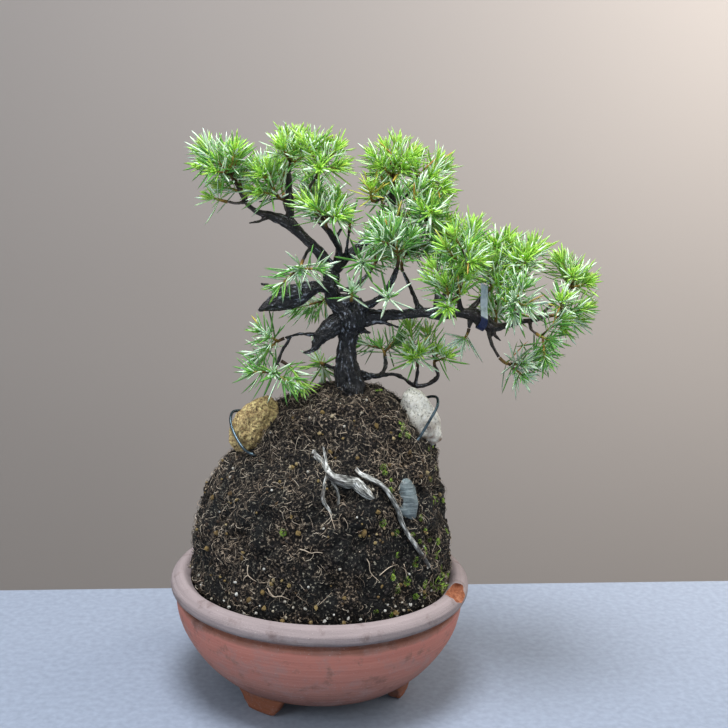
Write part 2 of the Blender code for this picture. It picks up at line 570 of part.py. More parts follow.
def turned(name, profile, closed, steps, collection):
    """Turn a profile of (radius, height) points round the Z axis."""
    points = [(radius, 0.0, height) for radius, height in profile]
    edges = [(i, i + 1) for i in range(len(points) - 1)]
    if closed:
        edges.append((len(points) - 1, 0))
    mesh = bpy.data.meshes.new(name)
    mesh.from_pydata(points, edges, [])
    obj = new_object(name, mesh, collection)
    screw = obj.modifiers.new("turned", "SCREW")
    screw.steps = steps
    screw.render_steps = steps
    screw.use_merge_vertices = True
    screw.merge_threshold = WELD
    return obj


def tube(name, route, resolution, collection, grow=0.0, twist=0.0):
    """Sweep a round section along (x, y, z, radius) points and return it as a mesh object."""
    curve = bpy.data.curves.new(name, "CURVE")
    curve.dimensions = "3D"
    curve.bevel_depth = 1.0
    curve.bevel_resolution = resolution
    curve.use_fill_caps = True
    spline = curve.splines.new("POLY")
    spline.points.add(len(route) - 1)
    for number, (point, (x, y, z, radius)) in enumerate(zip(spline.points, route)):
        point.co = (x, y, z, 1.0)
        point.radius = radius + grow
        point.tilt = number * twist
    source = bpy.data.objects.new("sweep", curve)
    collection.objects.link(source)
    bm = bmesh.new()
    swept = evaluated_mesh(source)
    bm.from_mesh(swept)
    bmesh.ops.remove_doubles(bm, verts=bm.verts, dist=WELD)
    obj = new_object(name, mesh_from(bm, name), collection)
    obj.matrix_world = source.matrix_world
    bpy.data.objects.remove(source, do_unlink=True)
    bpy.data.curves.remove(curve)
    bpy.data.meshes.remove(swept)
    return obj


def smoothed(points, steps):
    """Read extra points from a smooth curve through a hand-chosen route."""
    curve = []
    last = len(points) - 1
    for i in range(last):
        before = points[max(i - 1, 0)]
        start, end = points[i], points[i + 1]
        after = points[min(i + 2, last)]
        for step in range(steps):
            t = step / steps
            curve.append(0.5 * (
                2.0 * start + (end - before) * t
                + (2.0 * before - 5.0 * start + 4.0 * end - after) * t ** 2
                + (3.0 * start - before - 3.0 * end + after) * t ** 3))
    curve.append(points[last])
    return curve


def rough_stone(name, centre, radii, turn, roughness, collection, grow=0.0):
    """Shape a weathered stone from a ball: stretched, with broad hollows."""
    bm = bmesh.new()
    bmesh.ops.create_icosphere(bm, subdivisions=STONE_DETAIL, radius=1.0)
    for vert in bm.verts:
        direction = vert.co.normalized()
        wear = noise.noise(direction * WEAR_SCALE + Vector(centre) * WEAR_SHIFT)
        vert.co = Vector(
            direction[axis] * (radii[axis] + roughness * wear + grow) for axis in range(3))
    bmesh.ops.transform(bm, matrix=Matrix.Translation(centre) @ turn, verts=bm.verts)
    return new_object(name, mesh_from(bm, name), collection)


def foot_block(angle, collection):
    """Bend a block into one foot: an arc whose ends and sides draw in towards the sole."""
    bm = bmesh.new()
    bmesh.ops.create_cube(bm, size=2.0)
    lengthwise = [e for e in bm.edges if abs(e.verts[0].co.x - e.verts[1].co.x) > 1.0]
    bmesh.ops.subdivide_edges(bm, edges=lengthwise, cuts=FOOT_CUTS, use_grid_fill=True)
    for vert in bm.verts:
        along = vert.co.x
        across = (vert.co.y + 1.0) / 2.0
        height = (vert.co.z + 1.0) / 2.0
        half = FOOT_HALF_ANGLE_SOLE + (FOOT_HALF_ANGLE_TOP - FOOT_HALF_ANGLE_SOLE) * height
        sole = FOOT_RADII_SOLE[0] + (FOOT_RADII_SOLE[1] - FOOT_RADII_SOLE[0]) * across
        top = FOOT_RADII_TOP[0] + (FOOT_RADII_TOP[1] - FOOT_RADII_TOP[0]) * across
        radius = sole + (top - sole) * height
        turn = math.radians(angle + along * half)
        vert.co = (radius * math.sin(turn), -radius * math.cos(turn), FOOT_TOP * height)
    return new_object("foot", mesh_from(bm, "foot"), collection)


def build_pot(parts, cutters):
    """Turn the bowl with its collar, groove and drain hole, add the feet and break the chip."""
    profile = POT_OUTSIDE + [(DRAIN_RADIUS, BASE_UNDERSIDE), (DRAIN_RADIUS, POT_FLOOR)] + POT_INSIDE
    pot = turned("pot", profile, True, POT_STEPS, parts)
    bake(pot)
    combine(pot, [foot_block(angle, cutters) for angle in FOOT_ANGLES], "UNION")
    turn = math.radians(CHIP_ANGLE)
    centre = (CHIP_RADIUS * math.sin(turn), -CHIP_RADIUS * math.cos(turn), CHIP_HEIGHT)
    chip = rough_stone(
        "chip", centre, CHIP_SIZE, Matrix.Rotation(turn, 4, "Z"), CHIP_ROUGHNESS, cutters)
    combine(pot, [chip], "DIFFERENCE")
    pot.data.shade_smooth()
    pot.data.set_sharp_from_angle(angle=math.radians(SHARP_ANGLE))
    return pot


def build_net(parts):
    """Cut square holes in a thin sheet that lies over the drain hole."""
    bm = bmesh.new()
    bmesh.ops.create_grid(
        bm, x_segments=NET_CELLS, y_segments=NET_CELLS, size=NET_SIDE / 2.0)
    cell = NET_SIDE / NET_CELLS
    holes = []
    for face in bm.faces:
        column = int((face.calc_center_median().x + NET_SIDE / 2.0) / cell)
        row = int((face.calc_center_median().y + NET_SIDE / 2.0) / cell)
        if column % 2 == 1 and row % 2 == 1:
            holes.append(face)
    bmesh.ops.delete(bm, geom=holes, context="FACES_ONLY")
    mesh = bpy.data.meshes.new("drain_net")
    bm.to_mesh(mesh)
    bm.free()
    net = new_object("drain_net", mesh, parts)
    net.location = (0.0, 0.0, POT_FLOOR + GAP)
    sheet = net.modifiers.new("thickness", "SOLIDIFY")
    sheet.thickness = NET_THICKNESS
    sheet.offset = 1.0
    bake(net)
    return net


def ring_value(height, column):
    """Read a ring's half width (1) or shift (2) at any height between the mound's rings."""
    heights = [ring[0] for ring in reversed(MOUND_RINGS)]
    values = [ring[column] for ring in reversed(MOUND_RINGS)]
    return float(np.interp(height, heights, values))


def shape_mound(mesh):
    """Shift, flatten and roughen the turned mound above the pot's edge."""
    base = MOUND_RINGS[-1][0]
    top = MOUND_RINGS[0][0]
    for vert in mesh.vertices:
        x, y, z = vert.co
        if z < base + WELD:
            continue
        rise = (z - base) / (top - base)
        depth = MOUND_DEPTH_RATIO_LOW + (MOUND_DEPTH_RATIO_HIGH - MOUND_DEPTH_RATIO_LOW) * rise
        away = Vector((x, y, (z - base) * LUMP_TILT)).normalized()
        lump = noise.noise(vert.co / LUMP_SIZE)
        lump += SMALL_LUMP_SHARE * noise.noise(vert.co / LUMP_SIZE * SMALL_LUMP_SCALE)
        swell = lump * LUMP_HEIGHT * min(1.0, (z - base) / LUMP_FADE)
        vert.co = Vector((x + ring_value(z, 2), y * depth, z)) + away * swell


def build_mound(parts):
    """Turn the soil that fills the pot and rises over the rock, before anything is cut out."""
    rings = [(width, height) for height, width, _ in MOUND_RINGS]
    in_pot = [(r - SOIL_IN_POT_GAP, z + SOIL_IN_POT_GAP) for r, z in SOIL_IN_POT]
    floor = POT_FLOOR + NET_THICKNESS + 2.0 * GAP
    in_pot[-1] = (in_pot[-1][0], floor)
    mound = turned("soil_mound", rings + in_pot + [(0.0, floor)], False, POT_STEPS, parts)
    bake(mound)
    shape_mound(mound.data)
    return mound


def rock_bodies(collection, grow=0.0):
    """Make the two overlapping lobes of the rock: its core and the face that shows."""
    core = rough_stone(
        "rock", ROCK_CENTRE, ROCK_RADII, Matrix.Identity(4), ROCK_ROUGHNESS, collection, grow)
    face_turn = Matrix.Rotation(math.radians(ROCK_FACE_TURN), 4, "Z")
    face = rough_stone(
        "rock_face", ROCK_FACE_CENTRE, ROCK_FACE_RADII, face_turn, ROCK_FACE_ROUGHNESS,
        collection, grow)
    return core, face


def build_rock(parts):
    """Join the rock's two lobes."""
    rock, face = rock_bodies(parts)
    combine(rock, [face], "UNION")
    return rock


def build_stone(name, place, collection, grow=0.0):
    """Make one of the two stones that lean on the mound's shoulders."""
    centre, radii, lean = place
    turn = Matrix.Rotation(math.radians(lean), 4, "Y")
    return rough_stone(name, centre, radii, turn, STONE_ROUGHNESS, collection, grow)


def hoop_route(points, stone):
    """Lead a wire over a stone, pushing each point out to lie on the stone's skin."""
    skin = BVHTree.FromObject(stone, bpy.context.evaluated_depsgraph_get())
    clearance = WIRE_RADIUS + WIRE_SEAT_GAP
    route = []
    for point in smoothed([Vector(p) for p in points], WIRE_STEPS):
        place, normal, _, _ = skin.find_nearest(point)
        if (point - place).dot(normal) < clearance:
            point = place + normal * clearance
        route.append((*point, WIRE_RADIUS))
    return route


def root_route(root, skin):
    """Lay a root on the mound: each point is found by looking at the mound from its side."""
    side, points = root
    route = [LIMBS["trunk"][1][:3] + (points[0][3],)]
    for x, z, depth, radius in points:
        start = Vector((x, side * ROOT_VIEW_DISTANCE, z))
        place, normal, _, _ = skin.ray_cast(start, Vector((0.0, -side, 0.0)))
        route.append((*(place - normal * depth), radius))
    return route


def limb_bevel(route):
    """Choose how round a limb or root is swept from its thickest point."""
    return THICK_BEVEL if max(point[3] for point in route) > THICK_RADIUS else THIN_BEVEL


def build_tree(parts, cutters, routes):
    """Fuse the trunk, limbs, twigs and roots, which grew as one piece."""
    tree = tube("tree", LIMBS["trunk"], TRUNK_BEVEL, parts)
    limbs = []
    for name, route in LIMBS.items():
        if name != "trunk":
            limbs.append(tube(name, route, limb_bevel(route), cutters))
    for name, route in routes.items():
        limbs.append(tube(name, route, limb_bevel(route), cutters))
    combine(tree, limbs, "UNION")
    tree.data.shade_smooth()
    return tree


def build_label(parts):
    """Bend a strip round the right limb and stand its two leaves up together."""
    half = LABEL_LEAF_SPACING / 2.0
    opening = math.asin(half / LABEL_LOOP_RADIUS)
    path = [(half, LABEL_TOP)]
    for step in range(LABEL_LOOP_STEPS + 1):
        angle = opening + (2.0 * math.pi - 2.0 * opening) * step / LABEL_LOOP_STEPS
        path.append((LABEL_LOOP_RADIUS * math.sin(angle), LABEL_LOOP_RADIUS * math.cos(angle)))
    path.append((-half, LABEL_TOP))
    points = []
    for side in (-0.5, 0.5):
        for y, z in path:
            lean = LABEL_LEAN * max(0.0, z / LABEL_TOP)
            points.append((side * LABEL_WIDTH - lean, y, z))
    count = len(path)
    faces = [(i, i + 1, i + 1 + count, i + count) for i in range(count - 1)]
    mesh = bpy.data.meshes.new("label")
    mesh.from_pydata(points, [], faces)
    label = new_object("label", mesh, parts)
    label.location = LABEL_CENTRE
    label.rotation_euler = (0.0, math.radians(LABEL_TURN), 0.0)
    sheet = label.modifiers.new("thickness", "SOLIDIFY")
    sheet.thickness = LABEL_THICKNESS
    sheet.offset = 0.0
    bake(label)
    return label


def placed_skin(obj):
    """Read an object's skin where the object stands."""
    points = [obj.matrix_basis @ vert.co for vert in obj.data.vertices]
    return BVHTree.FromPolygons(points, [tuple(face.vertices) for face in obj.data.polygons])


class Crowd:
    """What already stands in the crown, so that the next shoot or needle keeps clear of it."""

    def __init__(self, solids):
        self.skins = [placed_skin(solid) for solid in solids]
        self.starts = []
        self.ends = []
        self.radii = []
        self.owners = []

    def add(self, start, end, radius, owner):
        """Remember one straight stretch of a limb, shoot or needle."""
        self.starts.append(tuple(start))
        self.ends.append(tuple(end))
        self.radii.append(radius)
        self.owners.append(owner)

    def blocked(self, start, end, clearance, own):
        """Tell whether a stretch comes too near one of another owner or runs into a solid."""
        span = end - start
        for skin in self.skins:
            if skin.ray_cast(start, span.normalized(), span.length)[0] is not None:
                return True
            for step in range(1, SKIN_TESTS + 1):
                if skin.find_nearest(start + span * step / SKIN_TESTS, clearance)[0] is not None:
                    return True
        others = np.array([not owner.startswith(own) for owner in self.owners])
        gaps = segment_gaps(
            np.array(start), np.array(end), np.array(self.starts), np.array(self.ends))
        return bool(np.any(others & (gaps < np.array(self.radii) + clearance)))


def segment_gaps(start, end, starts, ends):
    """Measure the shortest distance from one straight stretch to each of many."""
    one = end - start
    many = ends - starts
    offset = start - starts
    one_square = one @ one
    product = many @ one
    many_square = np.maximum(np.sum(many * many, axis=1), TINY)
    along_one = offset @ one
    along_many = np.sum(offset * many, axis=1)
    skew = np.maximum(one_square * many_square - product * product, TINY ** 2)
    near = np.clip((product * along_many - many_square * along_one) / skew, 0.0, 1.0)
    far = np.clip((product * near + along_many) / many_square, 0.0, 1.0)
    near = np.clip((product * far - along_one) / one_square, 0.0, 1.0)
    return np.linalg.norm(offset + near[:, None] * one - far[:, None] * many, axis=1)


def perpendicular(axis, angle):
    """Give the unit vector square to an axis at an angle round it, measured from the top."""
    up = Vector((0.0, 0.0, 1.0))
    if abs(axis.dot(up)) > STEEP:
        up = Vector((0.0, -1.0, 0.0))
    side = axis.cross(up).normalized()
    top = side.cross(axis).normalized()
    return top * math.cos(angle) + side * math.sin(angle)


def limb_seat(limb, index, tip):
    """Find where a shoot leaves a limb, a gap clear of the bark, and the way it sets out."""
    route = LIMBS[limb]
    place = Vector(route[index][:3])
    radius = route[index][3]
    before = Vector(route[index - 1][:3])
    along = (place - before).normalized()
    if index == END:
        return place + along * TIP_SEAT_GAP, along
    away = tip - place
    away = (away - along * away.dot(along)).normalized()
    return place + away * (radius + SIDE_SEAT_GAP), away


def bowed(start, heading, tip, count):
    """Give points of a shoot that sets out along a heading and bends to its tip."""
    middle = start + heading * (tip - start).length * LEADER_BOW
    points = []
    for i in range(count):
        t = i / (count - 1)
        points.append(start * (1.0 - t) ** 2 + middle * 2.0 * t * (1.0 - t) + tip * t ** 2)
    return points


def plan_shoots(draw, crowd, row):
    """Plan a spray's leading shoot and its side shoots, keeping clear of the others."""
    name, limb, index, tip, sides = row
    start, heading = limb_seat(limb, index, Vector(tip))
    leader = bowed(start, heading, Vector(tip), LEADER_POINTS)
    shoots = [leader]
    turn = draw.uniform(0.0, 2.0 * math.pi)
    for number in range(sides):
        place = 1 + number % (LEADER_POINTS - 2)
        origin = leader[place].lerp(leader[place + 1], draw.uniform(*SIDE_SHOOT_START))
        axis = (leader[place + 1] - leader[place]).normalized()
        for attempt in range(TRIES):
            turn += math.radians(SHOOT_RETRY_TURN if attempt else SHOOT_TURN)
            heading = perpendicular(axis, turn) * SIDE_SHOOT_OUT + axis * SIDE_SHOOT_FORWARD
            heading.z += SIDE_SHOOT_LIFT
            heading.normalize()
            end = origin + heading * draw.uniform(*SIDE_SHOOT_LENGTH)
            if not crowd.blocked(origin, end, CORE_CLEARANCE, name + "/"):
                shoots.append([origin, end])
                break
    for number, shoot in enumerate(shoots):
        for a, b in zip(shoot, shoot[1:]):
            crowd.add(a, b, LEADER_RADII[0], f"{name}/{number}")
    return shoots


def point_along(shoot, distance):
    """Walk along a shoot and give the place and the direction there."""
    for a, b in zip(shoot, shoot[1:]):
        length = (b - a).length
        if distance <= length:
            return a.lerp(b, distance / length), (b - a).normalized()
        distance -= length
    return shoot[-1], (shoot[-1] - shoot[-2]).normalized()


def flat_side(skin, base, out, axis):
    """Turn a direction to the middle of the flat side of the core that it leaves through."""
    normal = skin.ray_cast(base, out)[1]
    if normal is None:
        return out
    return (normal - axis * normal.dot(axis)).normalized()


def needle_places(draw, crowd, shoot, core, bare, owner):
    """Set needles in a spiral along a shoot, each bent clear of whatever is in its way."""
    skin = BVHTree.FromObject(core, bpy.context.evaluated_depsgraph_get())
    total = sum((b - a).length for a, b in zip(shoot, shoot[1:]))
    count = max(FEWEST_NEEDLES, round((total - bare) / NEEDLE_SPACING) + 1)
    spin = draw.uniform(0.0, math.tau)
    places = []
    for number in range(count):
        share = number / (count - 1)
        base, axis = point_along(shoot, bare + (total - bare - TIP_BARE) * share)
        length = NEEDLE_LENGTH_LOW + (NEEDLE_LENGTH_TIP - NEEDLE_LENGTH_LOW) * share
        length *= draw.uniform(*NEEDLE_LENGTH_SPREAD)
        tilt = NEEDLE_TILT_LOW + (NEEDLE_TILT_TIP - NEEDLE_TILT_LOW) * share
        for attempt in range(TRIES):
            angle = math.radians(NEEDLE_TURN * number + NEEDLE_RETRY_TURN * attempt)
            out = flat_side(skin, base, perpendicular(axis, spin + angle), axis)
            spread = NEEDLE_TILT_SPREAD * (1.0 + NEEDLE_TILT_RETRY * attempt)
            lean = math.radians(tilt + draw.uniform(-spread, spread))
            way = axis * math.cos(lean) + out * math.sin(lean)
            end = base + way * length
            if not crowd.blocked(base + way * NEEDLE_FOOT, end, NEEDLE_CLEARANCE, owner):
                places.append((base, way, length))
                break
    for base, way, length in places:
        crowd.add(base, base + way * length, NEEDLE_RADIUS, owner)
    return places


def needle_mesh():
    """Make the three-sided needle, one unit long, that every needle shares."""
    bm = bmesh.new()
    bmesh.ops.create_cone(
        bm, cap_ends=True, segments=3, radius1=NEEDLE_RADIUS, radius2=0.0, depth=1.0)
    bmesh.ops.translate(bm, vec=(0.0, 0.0, 0.5), verts=bm.verts)
    bmesh.ops.remove_doubles(bm, verts=bm.verts, dist=WELD)
    return mesh_from(bm, "needle")


def shoot_tube(name, shoot, radii, collection):
    """Make a shoot's slim woody core."""
    last = len(shoot) - 1
    route = []
    for i, point in enumerate(shoot):
        route.append((*point, radii[0] + (radii[1] - radii[0]) * i / last))
    return tube(name, route, THIN_BEVEL, collection, twist=math.radians(CORE_TWIST))


def build_spray(cores, needles, needle, cutters):
    """Fuse a spray's shoots and needles into one body."""
    spray = cores[0]
    pieces = cores[1:]
    for base, way, length in needles:
        piece = new_object("needle", needle, cutters)
        turn = way.to_track_quat("Z", "Y").to_matrix().to_4x4()
        piece.matrix_world = (
            Matrix.Translation(base) @ turn @ Matrix.Diagonal((1.0, 1.0, length, 1.0)))
        pieces.append(piece)
    combine(spray, pieces, "UNION", "MANIFOLD")
    return spray


def build_sprays(parts, cutters, solids):
    """Plan every shoot first, then set the needles and make the sprays one by one."""
    draw = random.Random(SEED)
    crowd = Crowd(solids)
    for route in LIMBS.values():
        for a, b in zip(route, route[1:]):
            crowd.add(a[:3], b[:3], max(a[3], b[3]), "tree")
    plans = [(row[0], plan_shoots(draw, crowd, row)) for row in SPRAYS]
    needle = needle_mesh()
    sprays = []
    for name, shoots in plans:
        cores = [shoot_tube(name, shoots[0], LEADER_RADII, parts)]
        cores += [shoot_tube("side_shoot", shoot, SIDE_RADII, cutters) for shoot in shoots[1:]]
        needles = []
        for number, (core, shoot) in enumerate(zip(cores, shoots)):
            bare = SIDE_BARE if number else LEADER_BARE
            needles += needle_places(draw, crowd, shoot, core, bare, f"{name}/{number}")
        sprays.append(build_spray(cores, needles, needle, cutters))
    return sprays


def cut_mound(mound, routes, wires, cutters):
    """Cut the beds of the rock, trunk, roots, stones and wires out of the soil."""
    beds = list(rock_bodies(cutters, BED_GAP))
    trunk_foot = LIMBS["trunk"][:TRUNK_BED_POINTS]
    beds.append(tube("trunk_bed", trunk_foot, TRUNK_BEVEL, cutters, GAP))
    for route in routes.values():
        beds.append(tube("root_bed", route, limb_bevel(route), cutters, HOLE_CLEARANCE))
    beds.append(build_stone("left_bed", LEFT_STONE, cutters, BED_GAP))
    beds.append(build_stone("right_bed", RIGHT_STONE, cutters, BED_GAP))
    for route in wires:
        beds.append(tube("wire_bed", route, THICK_BEVEL, cutters, HOLE_CLEARANCE))
    combine(mound, beds, "DIFFERENCE")


def finish(obj, look, materials, root):
    """Give a part its material and hang it on the frame's empty."""
    obj.data.materials.clear()
    obj.data.materials.append(materials[look])
    obj.parent = root


def main():
    """Build every part of the bonsai."""
    clear_scene()
    parts = new_collection(COLLECTION_NAME)
    cutters = new_collection("cutters")
    materials = {name: new_material(name) for name in LOOKS}
    root = new_object("pot_axis", None, parts)
    root.location = POT_AXIS

    pot = build_pot(parts, cutters)
    net = build_net(parts)
    mound = build_mound(parts)
    rock = build_rock(parts)
    left_stone = build_stone("stone_left", LEFT_STONE, parts)
    right_stone = build_stone("stone_right", RIGHT_STONE, parts)
    left_route = hoop_route(LEFT_WIRE, left_stone)
    right_route = hoop_route(RIGHT_WIRE, right_stone)
    left_wire = tube("wire_left", left_route, THICK_BEVEL, parts)
    right_wire = tube("wire_right", right_route, THICK_BEVEL, parts)

    skin = BVHTree.FromObject(mound, bpy.context.evaluated_depsgraph_get())
    routes = {name: root_route(points, skin) for name, points in ROOTS.items()}
    tree = build_tree(parts, cutters, routes)
    label = build_label(parts)
    solids = (mound, left_stone, right_stone, left_wire, right_wire, label)
    sprays = build_sprays(parts, cutters, solids)
    cut_mound(mound, routes, (left_route, right_route), cutters)

    finish(pot, "terracotta", materials, root)
    finish(net, "drain_net", materials, root)
    finish(mound, "soil_and_rootlets", materials, root)
    finish(rock, "grey_rock", materials, root)
    finish(left_stone, "tan_stone", materials, root)
    finish(right_stone, "pale_stone", materials, root)
    finish(left_wire, "dark_wire", materials, root)
    finish(right_wire, "dark_wire", materials, root)
    finish(tree, "bark", materials, root)
    finish(label, "label", materials, root)
    for spray in sprays:
        finish(spray, "needles", materials, root)


main()
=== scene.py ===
"""The looks of a small root over rock bonsai: a needle conifer on a tall soil mound in a clay bowl.

Every piece is made in metres from the pot's own axis and stands where its solid stands. The tables
hold the same millimetres as the solids: points picked along each limb, root and edge in the
photograph, at chosen depths. The viewer of the photograph stands at -Y.
"""

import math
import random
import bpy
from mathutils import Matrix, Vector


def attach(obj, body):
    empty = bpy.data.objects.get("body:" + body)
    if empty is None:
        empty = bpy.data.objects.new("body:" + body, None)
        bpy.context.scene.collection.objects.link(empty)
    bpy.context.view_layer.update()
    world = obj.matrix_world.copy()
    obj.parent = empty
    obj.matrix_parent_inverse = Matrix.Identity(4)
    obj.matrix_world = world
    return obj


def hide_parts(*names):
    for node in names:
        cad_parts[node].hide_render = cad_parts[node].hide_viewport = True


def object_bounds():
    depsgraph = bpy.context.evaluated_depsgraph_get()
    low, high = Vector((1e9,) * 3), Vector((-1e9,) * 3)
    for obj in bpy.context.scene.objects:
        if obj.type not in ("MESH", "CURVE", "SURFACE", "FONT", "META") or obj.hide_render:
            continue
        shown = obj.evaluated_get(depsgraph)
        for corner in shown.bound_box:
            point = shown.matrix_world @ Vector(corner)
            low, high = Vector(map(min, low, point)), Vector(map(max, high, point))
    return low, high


bl_info = {
    "name": "Root over rock bonsai",
    "version": (1, 0, 0),
    "blender": (4, 5, 0),
    "location": "3D View > Sidebar > Bonsai",
    "description": "Dresses a small bonsai: bowl, soil, rootlets, moss, stones, bark and needles",
    "category": "Add Mesh",
}

import bmesh
import bpy
import numpy as np
from mathutils import Matrix, Vector, noise
from mathutils.bvhtree import BVHTree

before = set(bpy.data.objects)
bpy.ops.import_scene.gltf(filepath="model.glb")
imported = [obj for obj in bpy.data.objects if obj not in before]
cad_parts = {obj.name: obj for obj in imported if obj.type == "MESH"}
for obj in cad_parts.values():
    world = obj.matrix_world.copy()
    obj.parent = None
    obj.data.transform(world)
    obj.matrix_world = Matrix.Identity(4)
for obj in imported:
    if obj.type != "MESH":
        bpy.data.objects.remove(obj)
CAD_BOX = [list(corner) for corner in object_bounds()]

MM = 0.001
GOLDEN_TURN = math.radians(137.5)
POT_AXIS = Vector((-0.0327, 0.0, 0.0))

# All lengths below are millimetres and all angles degrees, up to the camera

# Bowl: (radius, height) down the outside, up the drain hole and up the inside
RIM_RADIUS = 85.0
POT_OUTSIDE = [(74, 66), (78, 69.3), (82, 68.2), (85, 64.5), (84.8, 61), (82.5, 59), (80.2, 58.2),
    (80, 56.8), (81.8, 55.2), (81.2, 49), (78.7, 40), (73.3, 30), (66.5, 21), (58, 13), (50, 8.5)]
DRAIN_HOLE = [(9.0, 8.5), (9.0, 16.5)]
POT_INSIDE = [(44, 16.5), (56, 20.5), (65.5, 30), (71.6, 45), (72.8, 60)]

# Feet: places round the bowl; half of the angle that they take up, at the sole and at the top; the
# inner and outer radius of the sole and of the top; and their height
FOOT_ANGLES = (-35.0, 74.0, 200.0)
FOOT_HALF_ANGLE = (10.0, 18.0)
FOOT_SOLE = (45.5, 53.0)
FOOT_HEAD = (44.0, 56.0)
FOOT_TOP = 12.5

# Chip in the collar: place round the bowl, (radius, height) of its middle, radii and unevenness
CHIP_ANGLE = 70.5
CHIP_PLACE = (84.0, 71.5)
CHIP_SIZE = (12.0, 11.5, 8.0)
CHIP_WEAR = 4.0

# Soil mound: (height, half width, sideways shift) of each ring
MOUND_RINGS = [(178, 0, 14), (176, 11, 14), (172, 25.5, 13.5), (168, 32.3, 10.8), (163, 37.3, 10.2),
    (157, 41, 11), (149, 45.8, 11.2), (143, 50.5, 9.8), (138, 56, 6.8), (130, 60.5, 4.2),
    (121, 64.3, 2.4), (109, 67.6, 1.2), (95, 70, 0.2), (80, 71.5, 0), (69, 72.5, 0), (65, 72.2, 0)]
# Its depth as a share of its width, low down and at the top, and its broad lumps
MOUND_DEPTH = (0.98, 0.92)
LUMP_SIZE = 17.0
LUMP_HEIGHT = 4.5
# How far the skin lies over the solid, its hidden lowest ring, and where loose things end
SKIN_LIFT = 0.15
SKIN_FOOT = (58.0, 71.0, 0.0)
LOWEST_SPOT = 66.0
# Places that stay almost free of rootlets, seen from the front: x, z and radius
BARE_PATCH = (24.0, 96.0, 42.0)
WET_PATCH = (14.0, 151.0, 13.0)

# Rock and stones: centre, radii, turn in degrees and depth of wear
ROCK_CORE = ((12.0, -4.0, 89.0), (46.0, 42.0, 59.0), 0.0, 5.0)
ROCK_FACE = ((39.7, -33.3, 123.5), (10.0, 15.5, 14.5), 46.0, 2.2)
LEFT_STONE = ((-38.5, -6.0, 154.5), (10.5, 8.5, 18.0), 32.0, 2.2)
RIGHT_STONE = ((54.5, -1.0, 160.5), (8.8, 7.5, 17.8), -27.0, 2.2)

# Wires over the stones, whose middle line is pushed clear of each stone's skin
WIRE_RADIUS = 0.8
WIRE_CLEARANCE = 1.46
LEFT_WIRE = [(-33, -19, 140), (-37.2, -23.5, 143), (-43, -19, 145), (-48, -13, 150), (-51.5, -6, 156),
    (-51, 1, 160), (-45.5, 7, 159), (-37, 11, 156), (-27, 13, 152)]
RIGHT_WIRE = [(44, -13, 144), (48.5, -18.5, 148), (53.5, -15, 154), (58.5, -11, 162), (62.5, -6, 168.5),
    (62.5, 1, 172), (57.5, 8, 170), (50.5, 12, 164), (41.5, 13, 158)]

# Cracks of the bark: the heart of the trunk, how deep they are near to it and far from it, and the
# level of the pattern that stays where the skin was
TRUNK_HEART = (12.0, 0.0, 205.0)
CRACK_REACH = (20.0, 60.0)
CRACK_DEPTH = (1.2, 0.55)
CRACK_LEVEL = 0.45

